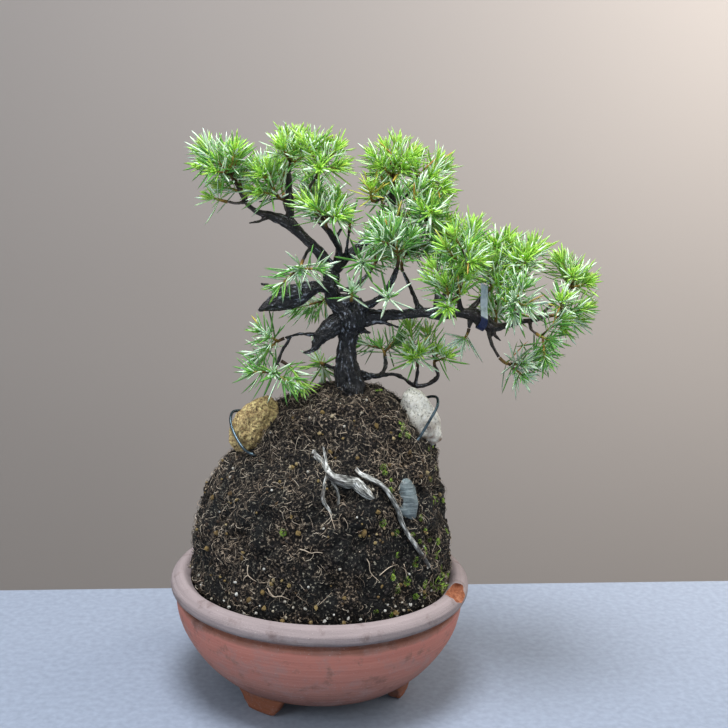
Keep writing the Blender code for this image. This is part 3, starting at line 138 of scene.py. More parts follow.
# Tree: (x, y, z, radius) along each limb, which starts inside the limb that carries it
LIMBS = {
    "trunk": [(14.5, 0, 158, 11.5), (14.5, 0, 168, 10), (14, 0, 177.3, 8.61), (12.4, 0, 186.4, 7.09),
        (11.8, 0, 192.6, 5.97), (12.1, 0, 201.7, 4.8), (12.6, 0, 207.9, 6.05), (13.5, 0, 213.5, 8.79),
        (13.1, 0, 218.8, 9.32), (8.3, 0, 222.9, 6.57), (3.9, 0, 226.1, 4.59), (2.4, 0, 231, 3.99),
        (1.9, 2, 238.4, 4.37), (-0.2, 4, 244.1, 3.94), (-5.7, 5, 251.5, 3.06), (-14.6, 6, 259.8, 2.73),
        (-22.4, 6, 266.4, 3.59), (-31.1, 5, 269.8, 2.5), (-39.1, 3, 272, 1.57), (-44.9, 1, 277.4, 1.24),
        (-48.9, -2, 285.6, 1.02)],
    "beak_stub": [(3.3, -1, 228.4, 3.93), (0.8, -3, 232.4, 3.53), (-4.8, -7, 233.7, 3.13),
        (-9.5, -9, 232.3, 4.42), (-14.8, -10, 229.8, 6.03), (-20.6, -11, 227.7, 6.57),
        (-27.5, -12, 225.1, 4.84), (-32.7, -13.5, 223, 2.42), (-36.2, -14, 221.2, 0.64)],
    "beak_twig": [(-22.8, -11, 231.1, 1.29), (-28.2, -12, 233.3, 0.91), (-31.9, -12.5, 234.6, 0.75),
        (-35.4, -13, 235.4, 0.7)],
    "hook_stub": [(9.1, -1, 215.3, 5.48), (2.7, -3, 210.4, 5.64), (-1.5, -5, 206.8, 4.54),
        (-4.3, -7, 203.2, 2.95), (-6.1, -8, 200.1, 1.96), (-9, -9, 198, 1.25), (-12.3, -10, 197.7, 0.65)],
    "low_left_twig": [(-2, -6, 207.9, 2.46), (-7.4, -8, 207.7, 1.41), (-12.8, -9, 207.9, 1.03),
        (-18.2, -10, 207.1, 0.87), (-21.9, -11, 205.8, 0.81)],
    "low_left_hanging": [(-18.2, -10, 207, 0.92), (-22.2, -13, 200.7, 0.92), (-24.7, -15, 194.4, 0.87),
        (-26.1, -17, 190.3, 0.81)],
    "left_riser": [(-21.8, 6, 265.6, 2.83), (-21.4, 6, 272.2, 2.12), (-21.5, 6, 278.7, 2.44),
        (-22.2, 6, 285.7, 1.95), (-22.2, 5, 293.3, 1.29)],
    "left_bare_twig": [(-22.1, 6, 280.3, 1.19), (-27.3, 4, 279.5, 0.7), (-33.1, 2, 278.7, 0.59),
        (-38.4, 1, 277.6, 0.48)],
    "riser_twig": [(-21.5, 6, 276.5, 1.63), (-15.9, 3, 280.8, 1.08), (-11.1, 1, 286, 0.91),
        (-7.9, 0, 291, 0.8)],
    "far_left_twig": [(-45.1, 0.8, 277.7, 1.08), (-49.4, -2, 276.8, 0.86), (-54, -4, 277.7, 0.91)],
    "left_snag": [(-32.1, 4, 269.6, 1.41), (-38.3, 1, 267.1, 0.81), (-43, -1, 266.4, 0.54)],
    "left_under_twig": [(-8.4, 5, 254.4, 1.64), (-11.3, -2, 251.8, 1.03), (-13, -9, 248.4, 0.86)],
    "left_back_twig": [(-21.8, 6, 266.2, 2.18), (-22, 16, 268, 1.7), (-25, 27, 273, 1.4),
        (-26.5, 34, 276.5, 1.1)],
    "top_limb": [(2.6, 3, 241, 3.83), (6.5, 6, 244.3, 3.07), (10.2, 10, 247.9, 2.64),
        (16.1, 14.5, 252.7, 2.43), (22, 18, 257.4, 2.22), (25.5, 19, 261.6, 1.94),
        (31.1, 20, 267.2, 1.89), (33.7, 20, 272.8, 1.88), (34, 20, 279.5, 1.82), (34.3, 19, 286.2, 1.43)],
    "top_right_twig": [(34, 20, 276.2, 1.6), (39.4, 18, 280.4, 1.21), (44.7, 16, 284.6, 0.99)],
    "top_left_twig": [(34.1, 20, 281.7, 1.44), (29, 16, 280.3, 0.93), (25.2, 13, 278.9, 0.77)],
    "inner_right_twig": [(25.7, 19, 261.9, 1.66), (32.3, 14, 263.6, 1.21), (39.3, 9, 265, 0.98),
        (45.2, 6, 266.1, 0.82)],
    "middle_twig": [(7.8, 7, 245.5, 1.87), (6.4, 5, 251.3, 1.31), (3.9, 2, 256.6, 1.47),
        (1.6, 0, 261.2, 1.73), (-0.3, -2, 264.3, 1.19)],
    "fork_twig": [(3.3, 1.5, 258.3, 1.3), (5.1, 3, 261.4, 0.98), (6.9, 4, 264.3, 0.76)],
    "upright_twig": [(9.1, 9, 247.2, 1.32), (10.1, 7, 252.8, 0.88), (10.3, 5, 257.5, 0.82),
        (11, 3, 262.1, 0.65)],
    "star_twig": [(11.3, 11, 248.6, 1.54), (14.1, 2, 248.7, 0.98), (16.7, -8, 249, 0.81)],
    "crown_back_twig": [(4.4, 4.5, 242.8, 2.19), (5.6, 11, 252.5, 2), (1.5, 17, 258.5, 1.8),
        (-4, 22, 263.5, 1.5), (-8.5, 27, 267.5, 1.1)],
    "crown_far_twig": [(18.2, 15.8, 254.4, 1.66), (26.5, 28, 266, 1.5), (28.5, 38, 271, 1.1)],
    "right_limb": [(13.4, 0, 218, 6.58), (19.5, -1, 218.1, 4.49), (24.9, -2, 218, 3.61),
        (32.6, -4, 218.6, 3.11), (43.3, -7, 220.3, 2.61), (53, -8, 221.7, 2.82), (61.6, -10, 221.5, 3.24),
        (70.7, -11, 222.7, 2.53), (78.8, -11, 222, 3.56), (83.8, -11, 219.7, 4.32),
        (87.7, -11, 217, 3.67), (92.2, -10, 215.2, 2.49), (98.8, -8, 216.2, 1.63), (106.6, -6, 218, 1.36),
        (115.4, -4, 219.3, 1.2), (120.9, -3, 220.7, 1.04)],
    "bare_twig": [(18.5, -2, 213.5, 2.74), (24, -4, 214.1, 1.53), (27.8, -5, 215, 1.09),
        (32.7, -6, 214.4, 0.87), (39.8, -8, 213.1, 0.49)],
    "burl_nub": [(16.9, -1, 211.1, 3.02), (21.4, -3, 209.1, 1.53), (24.4, -3.5, 208.2, 0.66)],
    "burl_front_twig": [(12.2, -4, 223.2, 1.63), (13.4, -13, 227.7, 1.02)],
    "inner_limb": [(17.2, -2, 221.3, 3.28), (24.2, -6, 225.3, 2.28), (29.4, -9, 229.4, 1.83),
        (32.5, -12, 234.6, 1.82), (35.4, -15, 240.7, 1.71), (37.3, -17, 247, 1.27)],
    "inner_front_twig": [(27.9, -8, 228, 1.41), (29.9, -15, 229.7, 0.96), (32, -21, 230.6, 0.74)],
    "middle_riser": [(51.4, -8, 221.9, 2.28), (48.3, -4, 227.7, 1.3), (46.1, 1, 232.8, 1.2),
        (43.3, 5, 237, 1.04), (41.2, 7, 241, 0.88)],
    "right_riser": [(60.8, -10, 222, 2.59), (60.1, -7, 227.5, 2.17), (59.9, -2, 232.6, 1.42),
        (60.2, 4, 237.1, 1.1), (60.8, 10, 242.3, 0.88)],
    "right_front_riser": [(72.8, -11, 222.9, 1.94), (71.1, -15, 230.4, 1.39), (69.5, -19, 237.6, 1.06),
        (69.4, -21, 242.8, 0.85)],
    "right_under_twig": [(78.3, -11, 221.7, 2.16), (77.3, -14, 215.1, 0.92)],
    "far_right_riser": [(77.2, -10.5, 222.4, 2.27), (81.5, -1, 226, 1.53), (88.1, 3, 232.7, 1.1),
        (92.3, 5, 238, 0.88)],
    "end_riser": [(99.4, -8, 216.4, 1.57), (102, -6, 222.6, 1.14), (104, -4, 228.9, 1.03),
        (104.9, -3, 234.3, 0.81)],
    "end_up_twig": [(114.4, -4, 219.1, 1.2), (120.2, 1, 223.5, 0.99), (125.8, 4, 228.1, 0.88),
        (129.6, 5, 230.8, 0.77)],
    "end_front_twig": [(105.5, -6, 217.7, 1.31), (103.3, -14, 222.5, 0.91), (101.2, -21, 227.1, 0.74)],
    "end_low_twig": [(111, -5, 218.6, 1.2), (111.2, -10, 214.8, 0.87), (113.4, -15, 213.5, 0.75)],
    "hanging_twig": [(88, -10.5, 216.4, 1.95), (88.7, -13, 210.3, 1.19), (90.6, -16, 205.5, 1.02),
        (93.9, -18, 200.5, 0.91)],
    "right_snag": [(88.8, -11, 216, 2.43), (91.7, -12, 211.3, 1.19), (95, -13, 208.3, 0.54)],
    "back_limb": [(13.9, 1, 218.9, 4.39), (11.5, 13, 223, 2.6), (15, 23, 228, 2), (20, 33, 232.5, 1.5),
        (23.5, 41, 236, 1.1)],
    "back_low_twig": [(15, 23, 228, 1.7), (7, 31, 225.5, 1.3), (1.5, 36.5, 221.5, 1.2)],
    "right_back_limb": [(61.6, -10, 221.5, 2.7), (61, 3, 222, 2), (64.5, 16, 226, 1.5),
        (68, 27, 230, 1.1)],
    "low_right_twig": [(15.5, 0, 183, 3.44), (20.5, 2, 182.7, 3.11), (25, 5, 182.1, 2.07),
        (30.6, 9, 181.5, 1.35), (36.8, 11, 182.2, 1.01), (41.9, 13, 180.7, 1.07), (46.6, 15, 177.4, 1.19),
        (50.8, 16.5, 174.3, 1.42), (55.9, 16.5, 174.8, 1.25), (60.3, 16, 177, 1.25),
        (63.4, 14, 181.2, 1.19), (61.4, 12, 186.8, 1.01)],
    "low_right_upright": [(50.8, 16.5, 174.6, 1.36), (51.4, 14, 180.8, 1.02), (51.6, 12, 186.5, 0.84)],
    "low_back_twig": [(31.1, 9, 181.6, 1.24), (33.6, 17, 185.5, 1.3), (33.5, 24, 188.5, 1.1)],
    "base_left_twig": [(12, 1.5, 184.5, 2.2), (4, 9.5, 185, 1.3), (0, 12.5, 186, 1.1)],
}

# Surface roots: (x, z, depth below the soil's skin, radius), laid on the front or the back
FRONT = -1.0
BACK = 1.0
ROOTS = {
    "thick_root": (FRONT, [(8, 165, 9.5, 3.2), (-3.7, 150.6, 1.6, 1.72), (1.9, 145.7, 0.3, 1.67),
        (6.4, 141.2, -0.3, 2.04), (12.3, 139.1, -1, 2.9), (18.2, 136.9, -1.2, 3.39),
        (23, 134.3, -0.8, 2.9), (26.7, 131.9, 0.2, 1.94), (32, 130.4, 3.5, 1.18)]),
    "long_root": (FRONT, [(17, 160, 8, 2.2), (19.5, 143, 0.9, 1.29), (26.4, 140.1, -0.1, 1.34),
        (33.4, 136.4, -0.6, 1.4), (37.9, 129.6, -1.6, 1.29), (40.8, 121.2, -2.2, 1.24),
        (44.8, 112.7, -1, 1.18), (53.5, 99, -0.3, 1.13), (59.6, 88.2, 0.2, 0.97),
        (61.6, 81.1, 2.6, 0.81)]),
    "forked_root": (FRONT, [(0.3, 156.6, 2.2, 0.91), (2.3, 149.7, 0.2, 0.86), (4.8, 141.6, -0.5, 0.86),
        (10, 132.9, -0.2, 0.81), (9.7, 126.3, 2.2, 0.7)]),
    "hanging_root": (FRONT, [(3.8, 141.2, 0.6, 1.18), (1.7, 131, -0.4, 1.02), (6.2, 123.5, 0, 0.81),
        (9.6, 115.6, 2.4, 0.7)]),
    "back_root": (BACK, [(10, 166, 10, 4), (2, 159, 5, 2.8), (-5, 152, 1, 2.1), (-11, 144, -0.5, 2),
        (-15, 135, -0.4, 1.8), (-22, 126, 0, 1.5), (-26, 119, 4, 1.1)]),
}

# Sprays: name, limb, point of the limb that carries it, tip of the leading shoot, side shoots, age
# (0 is old blue-green, 1 young yellow-green, MIXED draws one) and share of needles that show their
# pale waxy side
END = -1
MIXED = None
MIXED_AGES = (0.2, 0.46)
SPRAYS = [
    ("far_left_top", "trunk", END, (-60, -9, 300.1), 3, 0.3, 0.75),
    ("far_left_side", "trunk", 19, (-56.5, 8, 293.6), 2, MIXED, 0.7),
    ("far_left_low", "far_left_twig", END, (-61.5, -9, 280.1), 0, MIXED, 0.35),
    ("left_leader", "left_riser", END, (-18.5, 2, 305.9), 3, 0.46, 0.35),
    ("left_inner", "left_riser", 2, (-32.3, -4, 295.3), 2, 0.34, 0.7),
    ("left_right", "riser_twig", END, (-5.2, -6, 300), 2, 0.5, 0.35),
    ("left_back", "left_back_twig", END, (-30.6, 48, 292.2), 2, MIXED, 0.6),
    ("left_under", "left_under_twig", END, (-13.9, -22, 244.6), 2, MIXED, 0.35),
    ("crown_back", "crown_back_twig", END, (-7.5, 36, 278.2), 2, MIXED, 0.6),
    ("crown_middle", "middle_twig", END, (-0.2, -9, 273.5), 2, MIXED, 0.35),
    ("star", "star_twig", END, (19.2, -25, 250.3), 0, 0.16, 0.8),
    ("top", "top_limb", END, (34.8, 14, 299.7), 3, 0.5, 0.6),
    ("top_left", "top_left_twig", END, (22.2, 6, 285.5), 0, 0.92, 0.35),
    ("top_right", "top_right_twig", END, (54, 10, 293.1), 2, 0.46, 0.55),
    ("top_back", "crown_far_twig", END, (32, 52, 284.6), 2, MIXED, 0.35),
    ("inner_top", "inner_right_twig", END, (56.4, -3, 274.6), 2, MIXED, 0.35),
    ("inner_front", "inner_right_twig", 2, (44.5, -4, 275.4), 1, MIXED, 0.35),
    ("upright", "upright_twig", END, (11.5, -2, 268.8), 0, MIXED, 0.35),
    ("burl", "burl_front_twig", END, (13.8, -22, 234.7), 0, 0.2, 0.35),
    ("inner_star", "inner_front_twig", END, (32.8, -32, 233.9), 0, 0.14, 0.35),
    ("middle_front", "inner_limb", END, (33.5, -22, 263.5), 2, 0.18, 0.55),
    ("middle", "middle_riser", END, (45, 4, 255.4), 2, MIXED, 0.35),
    ("right_top", "right_riser", END, (67.2, 8, 263.8), 2, 0.5, 0.35),
    ("right_front", "right_front_riser", END, (74, -29, 259.5), 3, 0.4, 0.6),
    ("right_low_front", "right_front_riser", 1, (62.6, -33, 242.5), 2, MIXED, 0.35),
    ("right_under", "right_under_twig", END, (74.5, -19, 210.1), 1, 0.06, 0.15),
    ("far_right_top", "far_right_riser", END, (90.3, 4, 253.6), 2, 0.46, 0.35),
    ("far_right_front", "far_right_riser", 2, (92.7, -12, 242), 2, MIXED, 0.35),
    ("end_top", "end_riser", END, (105.7, -4, 254.7), 2, 0.5, 0.35),
    ("end_up", "end_up_twig", END, (134.8, 4, 241.2), 3, 0.48, 0.35),
    ("end_tip", "right_limb", END, (128.7, -9, 221.8), 2, MIXED, 0.35),
    ("end_star", "end_front_twig", END, (98.7, -35, 235), 1, 0.2, 0.35),
    ("end_low", "end_low_twig", END, (120.6, -22, 211.6), 1, 0.2, 0.85),
    ("hanging", "hanging_twig", END, (113.1, -23, 201.2), 2, 0.06, 0.1),
    ("end_back", "right_limb", 11, (101.3, 23, 228.9), 2, MIXED, 0.35),
    ("back", "back_limb", END, (29.2, 54, 246), 2, MIXED, 0.35),
    ("back_left", "back_low_twig", END, (-9.4, 46, 211.2), 1, MIXED, 0.35),
    ("right_back", "right_back_limb", END, (74.2, 42, 242.2), 3, MIXED, 0.35),
    ("low_left", "low_left_twig", END, (-29.7, -14, 201.2), 2, 0.2, 0.75),
    ("low_left_end", "low_left_hanging", END, (-27.1, -25, 189.5), 2, 0.16, 0.8),
    ("low_left_inner", "low_left_hanging", 2, (-12.4, -16, 181.6), 0, 0.5, 0.35),
    ("base_left", "base_left_twig", END, (-3.6, 17, 186.4), 2, 0.3, 0.35),
    ("low_right", "low_right_twig", END, (62.5, 8, 195.8), 1, MIXED, 0.35),
    ("low_right_inner", "low_right_upright", END, (47.4, 8, 195.3), 2, MIXED, 0.35),
    ("low_back", "low_back_twig", END, (30.9, 34, 193), 2, 0.08, 0.35),
]

# A side shoot leaves its leader between two shares of a stretch, outward, forward and a little
# upward, and turns about the leader until nothing is too near it
CROWN_SEED = 11
SHOOT_TRIES = 14
SHOOT_TURN = 50.0
SHOOT_SHARES = (0.1, 0.7)
SHOOT_OUTWARD = 0.85
SHOOT_FORWARD = 0.62
SHOOT_UPWARD = 0.22
SHOOT_LENGTHS = (11.0, 17.0)
SHOOT_CLEARANCE = 2.1
# Shoots stand off their twig by a small gap. Below LOW_CROWN they are sparse
STEM_GAP = 0.45
LOW_CROWN = 212.0
LEADER_RADIUS = 1.0
SIDE_RADIUS = 0.72
BARE_LEADER = 4.2
BARE_SIDE = 3.4
EXTRA_SHARE = 0.85

# Finishes of a needle piece, in the order of its materials
KEEL_FINISH = 0
BAND_FINISH = 1
SHOOT_FINISH = 2

# Needles: (share of the length, share of the width) along one; the shortest; how much lengths and
# widths vary, and how far a tip bows; how far needles lean from the shoot at its foot and at its
# tip, and how much that varies; the rise of the tint along the shoot, its spread and its usual end;
# the share of dead needles and their tints
NEEDLE_WIDTHS = ((0.0, 0.55), (0.4, 1.0), (0.8, 0.8))
SHORTEST_NEEDLE = 3.0
LENGTH_SHARES = (0.8, 1.08)
WIDTH_SHARES = (0.85, 1.15)
NEEDLE_BOWS = (-0.05, 0.12)
NEEDLE_LEANS = (68.0, 34.0)
LEAN_SPREAD = 11.0
TINT_RISE = 0.22
TINT_SPREAD = 0.09
LAST_TINT = 0.86
DEAD_SHARE = 0.012
DEAD_TINTS = (0.92, 1.0)
# The tuft at a shoot's tip: shares of the longest needle, leans and tints, how deep it starts in
# the tip, its share of the width and its bow. Up to OLD_AGE the tuft is duller, by OLD_TUFT_DROP
TUFT_LENGTHS = (0.3, 0.55)
TUFT_LEANS = (6.0, 52.0)
TUFT_TINTS = (0.74, 0.9)
TUFT_DEPTH = 0.8
TUFT_WIDTH = 0.84
TUFT_BOW = 0.05
OLD_AGE = 0.27
OLD_TUFT_DROP = 0.4
# Needles keep this far inside the solids' box
BOX_MARGIN = 0.3

# Sprays that stay open, without the extra thin shoots
OPEN_SPRAYS = ("left_under", "right_under", "low_left_end")

# The space in front of the label's face, kept free of needles: lowest and highest corner
LABEL_VIEW = (Vector((70.0, -90.0, 210.0)), Vector((92.0, -12.0, 244.0)))

# Hair roots: lengths, the share of long ones and how much longer they are, how much the radius
# varies, the share of pale straw ones, and the tints of both kinds
HAIR_LENGTHS = (1.8, 6.5)
LONG_SHARE = 0.15
LONG_FACTOR = 1.8
HAIR_RADII = (0.7, 1.3)
STRAW_SHARE = 0.3
STRAW_TINTS = (0.8, 1.0)
BROWN_TINTS = (0.0, 0.4)

# Thin loose roots on the soil: side, then (x, z, height above the skin) of each point
STRAY_RADIUS = 0.28
STRAY_TINT = 0.9
STRAY_ROOTS = [
    (FRONT, [(-9, 105.6, 0.1), (-6, 105.5, 1.1), (-3, 104.6, 1.3), (0, 105.2, 1.0), (3, 104.7, 0)]),
    (FRONT, [(-36.4, 92.2, 0), (-36.6, 89.8, 1.0), (-36.3, 87.3, 0.9), (-34, 85.4, 0.7),
        (-31.8, 84.2, 0)]),
    (FRONT, [(-36.3, 87.3, 0.8), (-38.2, 85.4, 0.7), (-39, 83.2, 0)]),
    (FRONT, [(45, 122.5, 0), (47.2, 120.2, 1.2), (49, 117.3, 1.2), (52.5, 114.3, 0.1)]),
    (FRONT, [(3.5, 138.9, 0.2), (1.7, 130.8, 0.6), (3.5, 126.6, 0.9), (6.8, 122.2, 0.8),
        (9.1, 115.8, 0.1)]),
    (FRONT, [(22, 104, 0), (27, 99, 0.8), (28, 93, 0.9), (33, 88, 0.1)]),
    (FRONT, [(-25.6, 82.4, 0), (-23, 79.6, 0.7), (-20.6, 79.2, 0.9), (-17.8, 80.4, 0.8), (-13, 78.4, 0)]),
    (FRONT, [(33, 91, 0), (37.5, 94.4, 0.8), (42.5, 93, 0)]),
    (FRONT, [(46, 92.8, 0), (47.6, 84.6, 0.9)]),
    (BACK, [(28, 140, 0), (33, 132, 0.9), (34, 122, 1.0), (39, 113, 0.7), (41, 105, 0.1)]),
    (BACK, [(8, 128, 0), (6, 118, 0.9), (11, 109, 1.1), (9, 99, 0.1)]),
    (BACK, [(-34, 120, 0), (-38, 112, 0.8), (-36, 103, 0.9), (-41, 95, 0.1)]),
]

# Single grains that show at the front: x, z, size and tint (dark 0, ochre 0.6, white 1)
FRONT_GRAINS = [
    (29, 163, 3.4, 0.6), (24, 113.5, 3.6, 0.58), (-10, 113, 2.8, 0.62), (-28, 80, 2.6, 0.6),
    (-23, 85, 2.4, 0.66), (-35, 75, 2.8, 0.56), (15, 81, 2.6, 0.62), (0, 76, 2.6, 0.68),
    (15, 67.5, 2.6, 0.64), (-17, 67.5, 3.0, 0.6), (-55, 103, 2.6, 0.55), (-60, 93, 2.6, 0.62),
    (-27, 72, 2.6, 0.64), (31, 124, 2.6, 0.6), (5, 151, 2.4, 0.58), (42, 69, 2.8, 0.62),
    (-43, 82, 1.8, 0.98), (-46, 67.5, 2.0, 0.95), (5, 68.5, 1.9, 1.0), (12, 96, 1.5, 0.92),
    (-25, 132, 1.4, 0.95), (23.5, 68.5, 1.9, 0.97), (-5, 75, 1.6, 0.93), (-4, 87, 1.4, 0.96),
    (40, 77, 1.5, 0.9), (50, 70, 2.0, 1.0), (59, 87, 1.4, 0.95), (-16, 77, 1.7, 0.9),
    (-49, 131, 1.5, 0.92), (49, 87, 1.5, 0.97), (10, 73, 1.3, 1.0), (-31, 69, 1.6, 0.94),
]

# Moss at the front: x, z, spread and tint; spreads, tints and blade lengths of the scattered
# moss; half widths of a blade and the tint of grass; then single grass blades: x, z, way and length
MOSS_TUFTS = [
    (-18, 112.5, 1.9, 0.95), (34, 118, 1.8, 0.6), (41, 110, 2.0, 0.5), (42, 98, 1.6, 0.55),
    (48, 83, 2.2, 0.65), (40, 88.6, 1.8, 0.6), (65, 75, 4.0, 0.7), (69, 69, 3.4, 0.65),
    (43, 79, 1.8, 0.5), (33, 145, 1.8, 0.45), (64, 89, 2.0, 0.6), (65, 97, 1.7, 0.55), (58, 79, 2.0, 0.6),
    (53, 74, 1.6, 0.7), (37, 134, 1.3, 0.5), (50, 108, 1.4, 0.5),
]
MOSS_SPREADS = (0.6, 1.7)
MOSS_TINTS = (0.1, 0.75)
MOSS_BLADES = (0.6, 1.5)
MOSS_WIDTH = 0.16
GRASS_WIDTH = 0.35
GRASS_TINT = 0.8
GRASS_BLADES = [
    (64, 76, (0.35, -0.5, 1.0), 7.0), (66, 75, (0.6, -0.4, 0.9), 6.0), (67, 72, (0.5, -0.6, 0.4), 6.5),
    (62, 74, (-0.1, -0.6, 1.0), 5.5), (69, 70, (0.9, -0.3, 0.5), 5.0), (48, 84, (0.2, -0.7, 0.9), 4.0),
    (41, 90, (-0.2, -0.7, 0.9), 3.6), (65, 90, (0.6, -0.4, 0.8), 4.0),
]

# Label: corners across its width, height of its leaves, half the gap between them, radius of the
# loop round the limb, half the film's thickness, how far the leaves' top leans to the left, middle
# of the loop and turn
LABEL_COLUMNS = (-2.1, -1.9, 0.0, 1.9, 2.1)
LABEL_HEIGHT = 17.6
LABEL_HALF_GAP = 0.6
LABEL_LOOP = 5.4
LABEL_FILM = 0.22
LABEL_LEAN = 8.8
LABEL_PLACE = (85.2, -11.0, 218.9)
LABEL_TURN = 25.0
# Heights from which and over which a mark tells the film's finish its leaves from its loop
LABEL_LOW = -6.0
LABEL_REACH = 24.0

# Camera of the photograph, in metres from the pot's axis
CAMERA_PLACE = (0.0214, -0.7002, 0.3556)

# Stage, in metres: lowest and highest corner of each block. Lights: name, place, size, share of
# the main light's power, colour and target
TABLE_BLOCK = ((-2.5, -2.5, -0.03), (2.5, 0.0, 0.0))
GROUND_BLOCK = ((-6.0, -6.0, -0.9), (6.0, 6.0, -0.75))
WALL_BLOCK = ((-6.0, 0.95, -0.8), (6.0, 1.0, 5.0))
TREE = (0.0, 0.0, 0.15)
LIGHTS = [
    ("ceiling_light", (-0.12, -0.3, 1.5), 0.6, 1.0, "#f6f8ff", TREE),
    ("left_light", (-1.3, -1.1, 1.0), 1.0, 0.35, "#f2f6ff", TREE),
    ("right_light", (1.5, -0.6, 0.9), 1.0, 0.2, "#fff8ee", TREE),
    ("wall_light", (0.65, 0.3, 0.7), 0.5, 0.5, "#fff6ec", (0.55, 0.95, 0.3)),
]


# Colours, nodes and materials

def linear(colour):
    """Turn an sRGB hex value into linear red, green and blue; colours of the settings are linear."""
    if not isinstance(colour, str):
        return tuple(colour)
    shares = [int(colour[i:i + 2], 16) / 255.0 for i in (1, 3, 5)]
    return tuple(
        share / 12.92 if share <= 0.04045 else ((share + 0.055) / 1.055) ** 2.4 for share in shares)


def shaded(colour, factor=1.0):
    """Give a darker or lighter tone of a colour."""
    return tuple(min(1.0, part * factor) for part in linear(colour))


def per_mm(size):
    """Give the texture scale whose pattern is this many millimetres across."""
    return 1.0 / (size * MM)


def feed(tree, node, values):
    """Set or link a node's inputs; a node given as a value gives its first output, and a pair
    called From or To gives both ends of a range."""
    for name, value in values.items():
        if name in ("From", "To"):
            feed(tree, node, {name + " Min": value[0], name + " Max": value[1]})
            continue
        if isinstance(value, bpy.types.Node):
            value = value.outputs[0]
        if isinstance(value, bpy.types.NodeSocket):
            tree.links.new(value, node.inputs[name])
        elif node.inputs[name].type == "RGBA":
            node.inputs[name].default_value = (*linear(value), 1.0)
        else:
            node.inputs[name].default_value = value


def add_node(tree, kind, values=None, ramp=None, **settings):
    """Add a shader node with its settings, its colour stops, and its values and links."""
    node = tree.nodes.new("ShaderNode" + kind)
    for name, value in settings.items():
        setattr(node, name, value)
    for number, (place, colour, *factor) in enumerate(ramp or ()):
        stops = node.color_ramp.elements
        stop = stops[number] if number < 2 else stops.new(place)
        stop.position = place
        stop.color = (*shaded(colour, *factor), 1.0)
    feed(tree, node, values or {})
    return node


def new_material(name):
    """Make a material and give its nodes and its shader."""
    material = bpy.data.materials.new(name)
    material.use_nodes = True
    return material, material.node_tree, material.node_tree.nodes["Principled BSDF"]


def corner_marks(tree):
    """Give the two numbers kept for every corner: its piece's tint and how far along it lies."""
    marks = add_node(tree, "SeparateXYZ", {"Vector": add_node(tree, "UVMap", uv_map="marks")})
    return marks.outputs["X"], marks.outputs["Y"]


def overlaid(tree, colour, tone, pattern, span, shares):
    """Lay a tone over a colour, by shares that run from one to the other over a pattern's span."""
    share = add_node(tree, "MapRange", {"Value": pattern, "From": span, "To": shares})
    return add_node(tree, "MixRGB", {"Fac": share, "Color1": colour, "Color2": tone})


def mottled(tree, colour, pattern, stops, share, blend="MULTIPLY"):
    """Tone a colour by a pattern that has tones of its own."""
    tones = add_node(tree, "ValToRGB", {"Fac": pattern}, stops)
    return add_node(tree, "MixRGB", {"Fac": share, "Color1": colour, "Color2": tones}, blend_type=blend)


def earthenware(pot):
    """Unglazed red earthenware, thrown on a wheel and fired: matt and dusty, with a pale bloom,
    brown stains from watering and faint level lines left by the fingers. Its bands by height also
    carry painted shade low on the body, on the feet's tops, under the collar and in the groove,
    and painted light on the upper body and the collar's top."""
    material, tree, shader = new_material("unglazed_red_earthenware")
    place = add_node(tree, "TexCoord").outputs["Object"]
    drift = add_node(tree, "TexNoise", {"Vector": place, "Scale": per_mm(30.0), "Detail": 4.0})
    wander = add_node(tree, "MapRange", {"Value": drift, "From": (0.3, 0.7), "To": (-0.0016, 0.0016)})
    height = add_node(tree, "SeparateXYZ", {"Vector": place}).outputs["Z"]
    level = add_node(tree, "Math", {0: height, 1: wander}, operation="ADD")
    share = add_node(tree, "MapRange", {"Value": level, "From": (0.0, 70.0 * MM)})
    # Bands by height: the clay's own colours of feet, body, groove and collar. Painted shade darkens the
    # body low down, the feet's tops, the groove and the collar's underside; painted light brightens the
    # upper body and the collar's top
    clay_bands_and_painted_light = add_node(tree, "ValToRGB", {"Fac": share}, [
        (0.0, pot.foot_colour), (1.0, pot.collar_colour, 1.15),
        (0.15, pot.foot_colour, 0.75), (0.2, pot.body_colour, 0.55),
        (0.45, pot.body_colour), (0.76, pot.body_colour, 1.15),
        (0.8, pot.groove_shade_colour, 1.3), (0.83, pot.groove_shade_colour),
        (0.86, pot.collar_colour, 0.6), (0.89, pot.collar_colour)])
    clouds = add_node(tree, "TexNoise", {
        "Vector": place, "Scale": per_mm(16.0), "Detail": 8.0, "Roughness": 0.7})
    dusty = overlaid(tree, clay_bands_and_painted_light, "#aea09d", clouds, (0.5, 0.72), (0.0, 0.45))
    blots = add_node(tree, "TexNoise", {
        "Vector": place, "Scale": per_mm(10.0), "Detail": 6.0, "Roughness": 0.65})
    stained = overlaid(tree, dusty, "#5f3a2e", blots, (0.55, 0.72), (0.0, 0.5))
    flat = add_node(tree, "Mapping", {"Vector": place, "Scale": (0.15, 0.15, 6.0)})
    rings = add_node(tree, "TexNoise", {
        "Vector": flat, "Scale": per_mm(9.0), "Detail": 4.0, "Roughness": 0.6})
    ringed = mottled(tree, stained, rings, [(0.3, "#6a6a6a"), (0.7, "#989898")], 0.6, "OVERLAY")
    sand = add_node(tree, "TexNoise", {
        "Vector": place, "Scale": per_mm(1.0), "Detail": 5.0, "Roughness": 0.7})
    specked = overlaid(tree, ringed, "#c9bdb6", sand, (0.62, 0.7), (0.0, 0.5))
    depth = add_node(tree, "Math", {0: sand, 1: rings}, operation="ADD")
    bump = add_node(tree, "Bump", {"Height": depth, "Distance": 0.35 * MM})
    feed(tree, shader, {"Base Color": specked, "Roughness": 0.85, "IOR": 1.5, "Normal": bump})
    return material


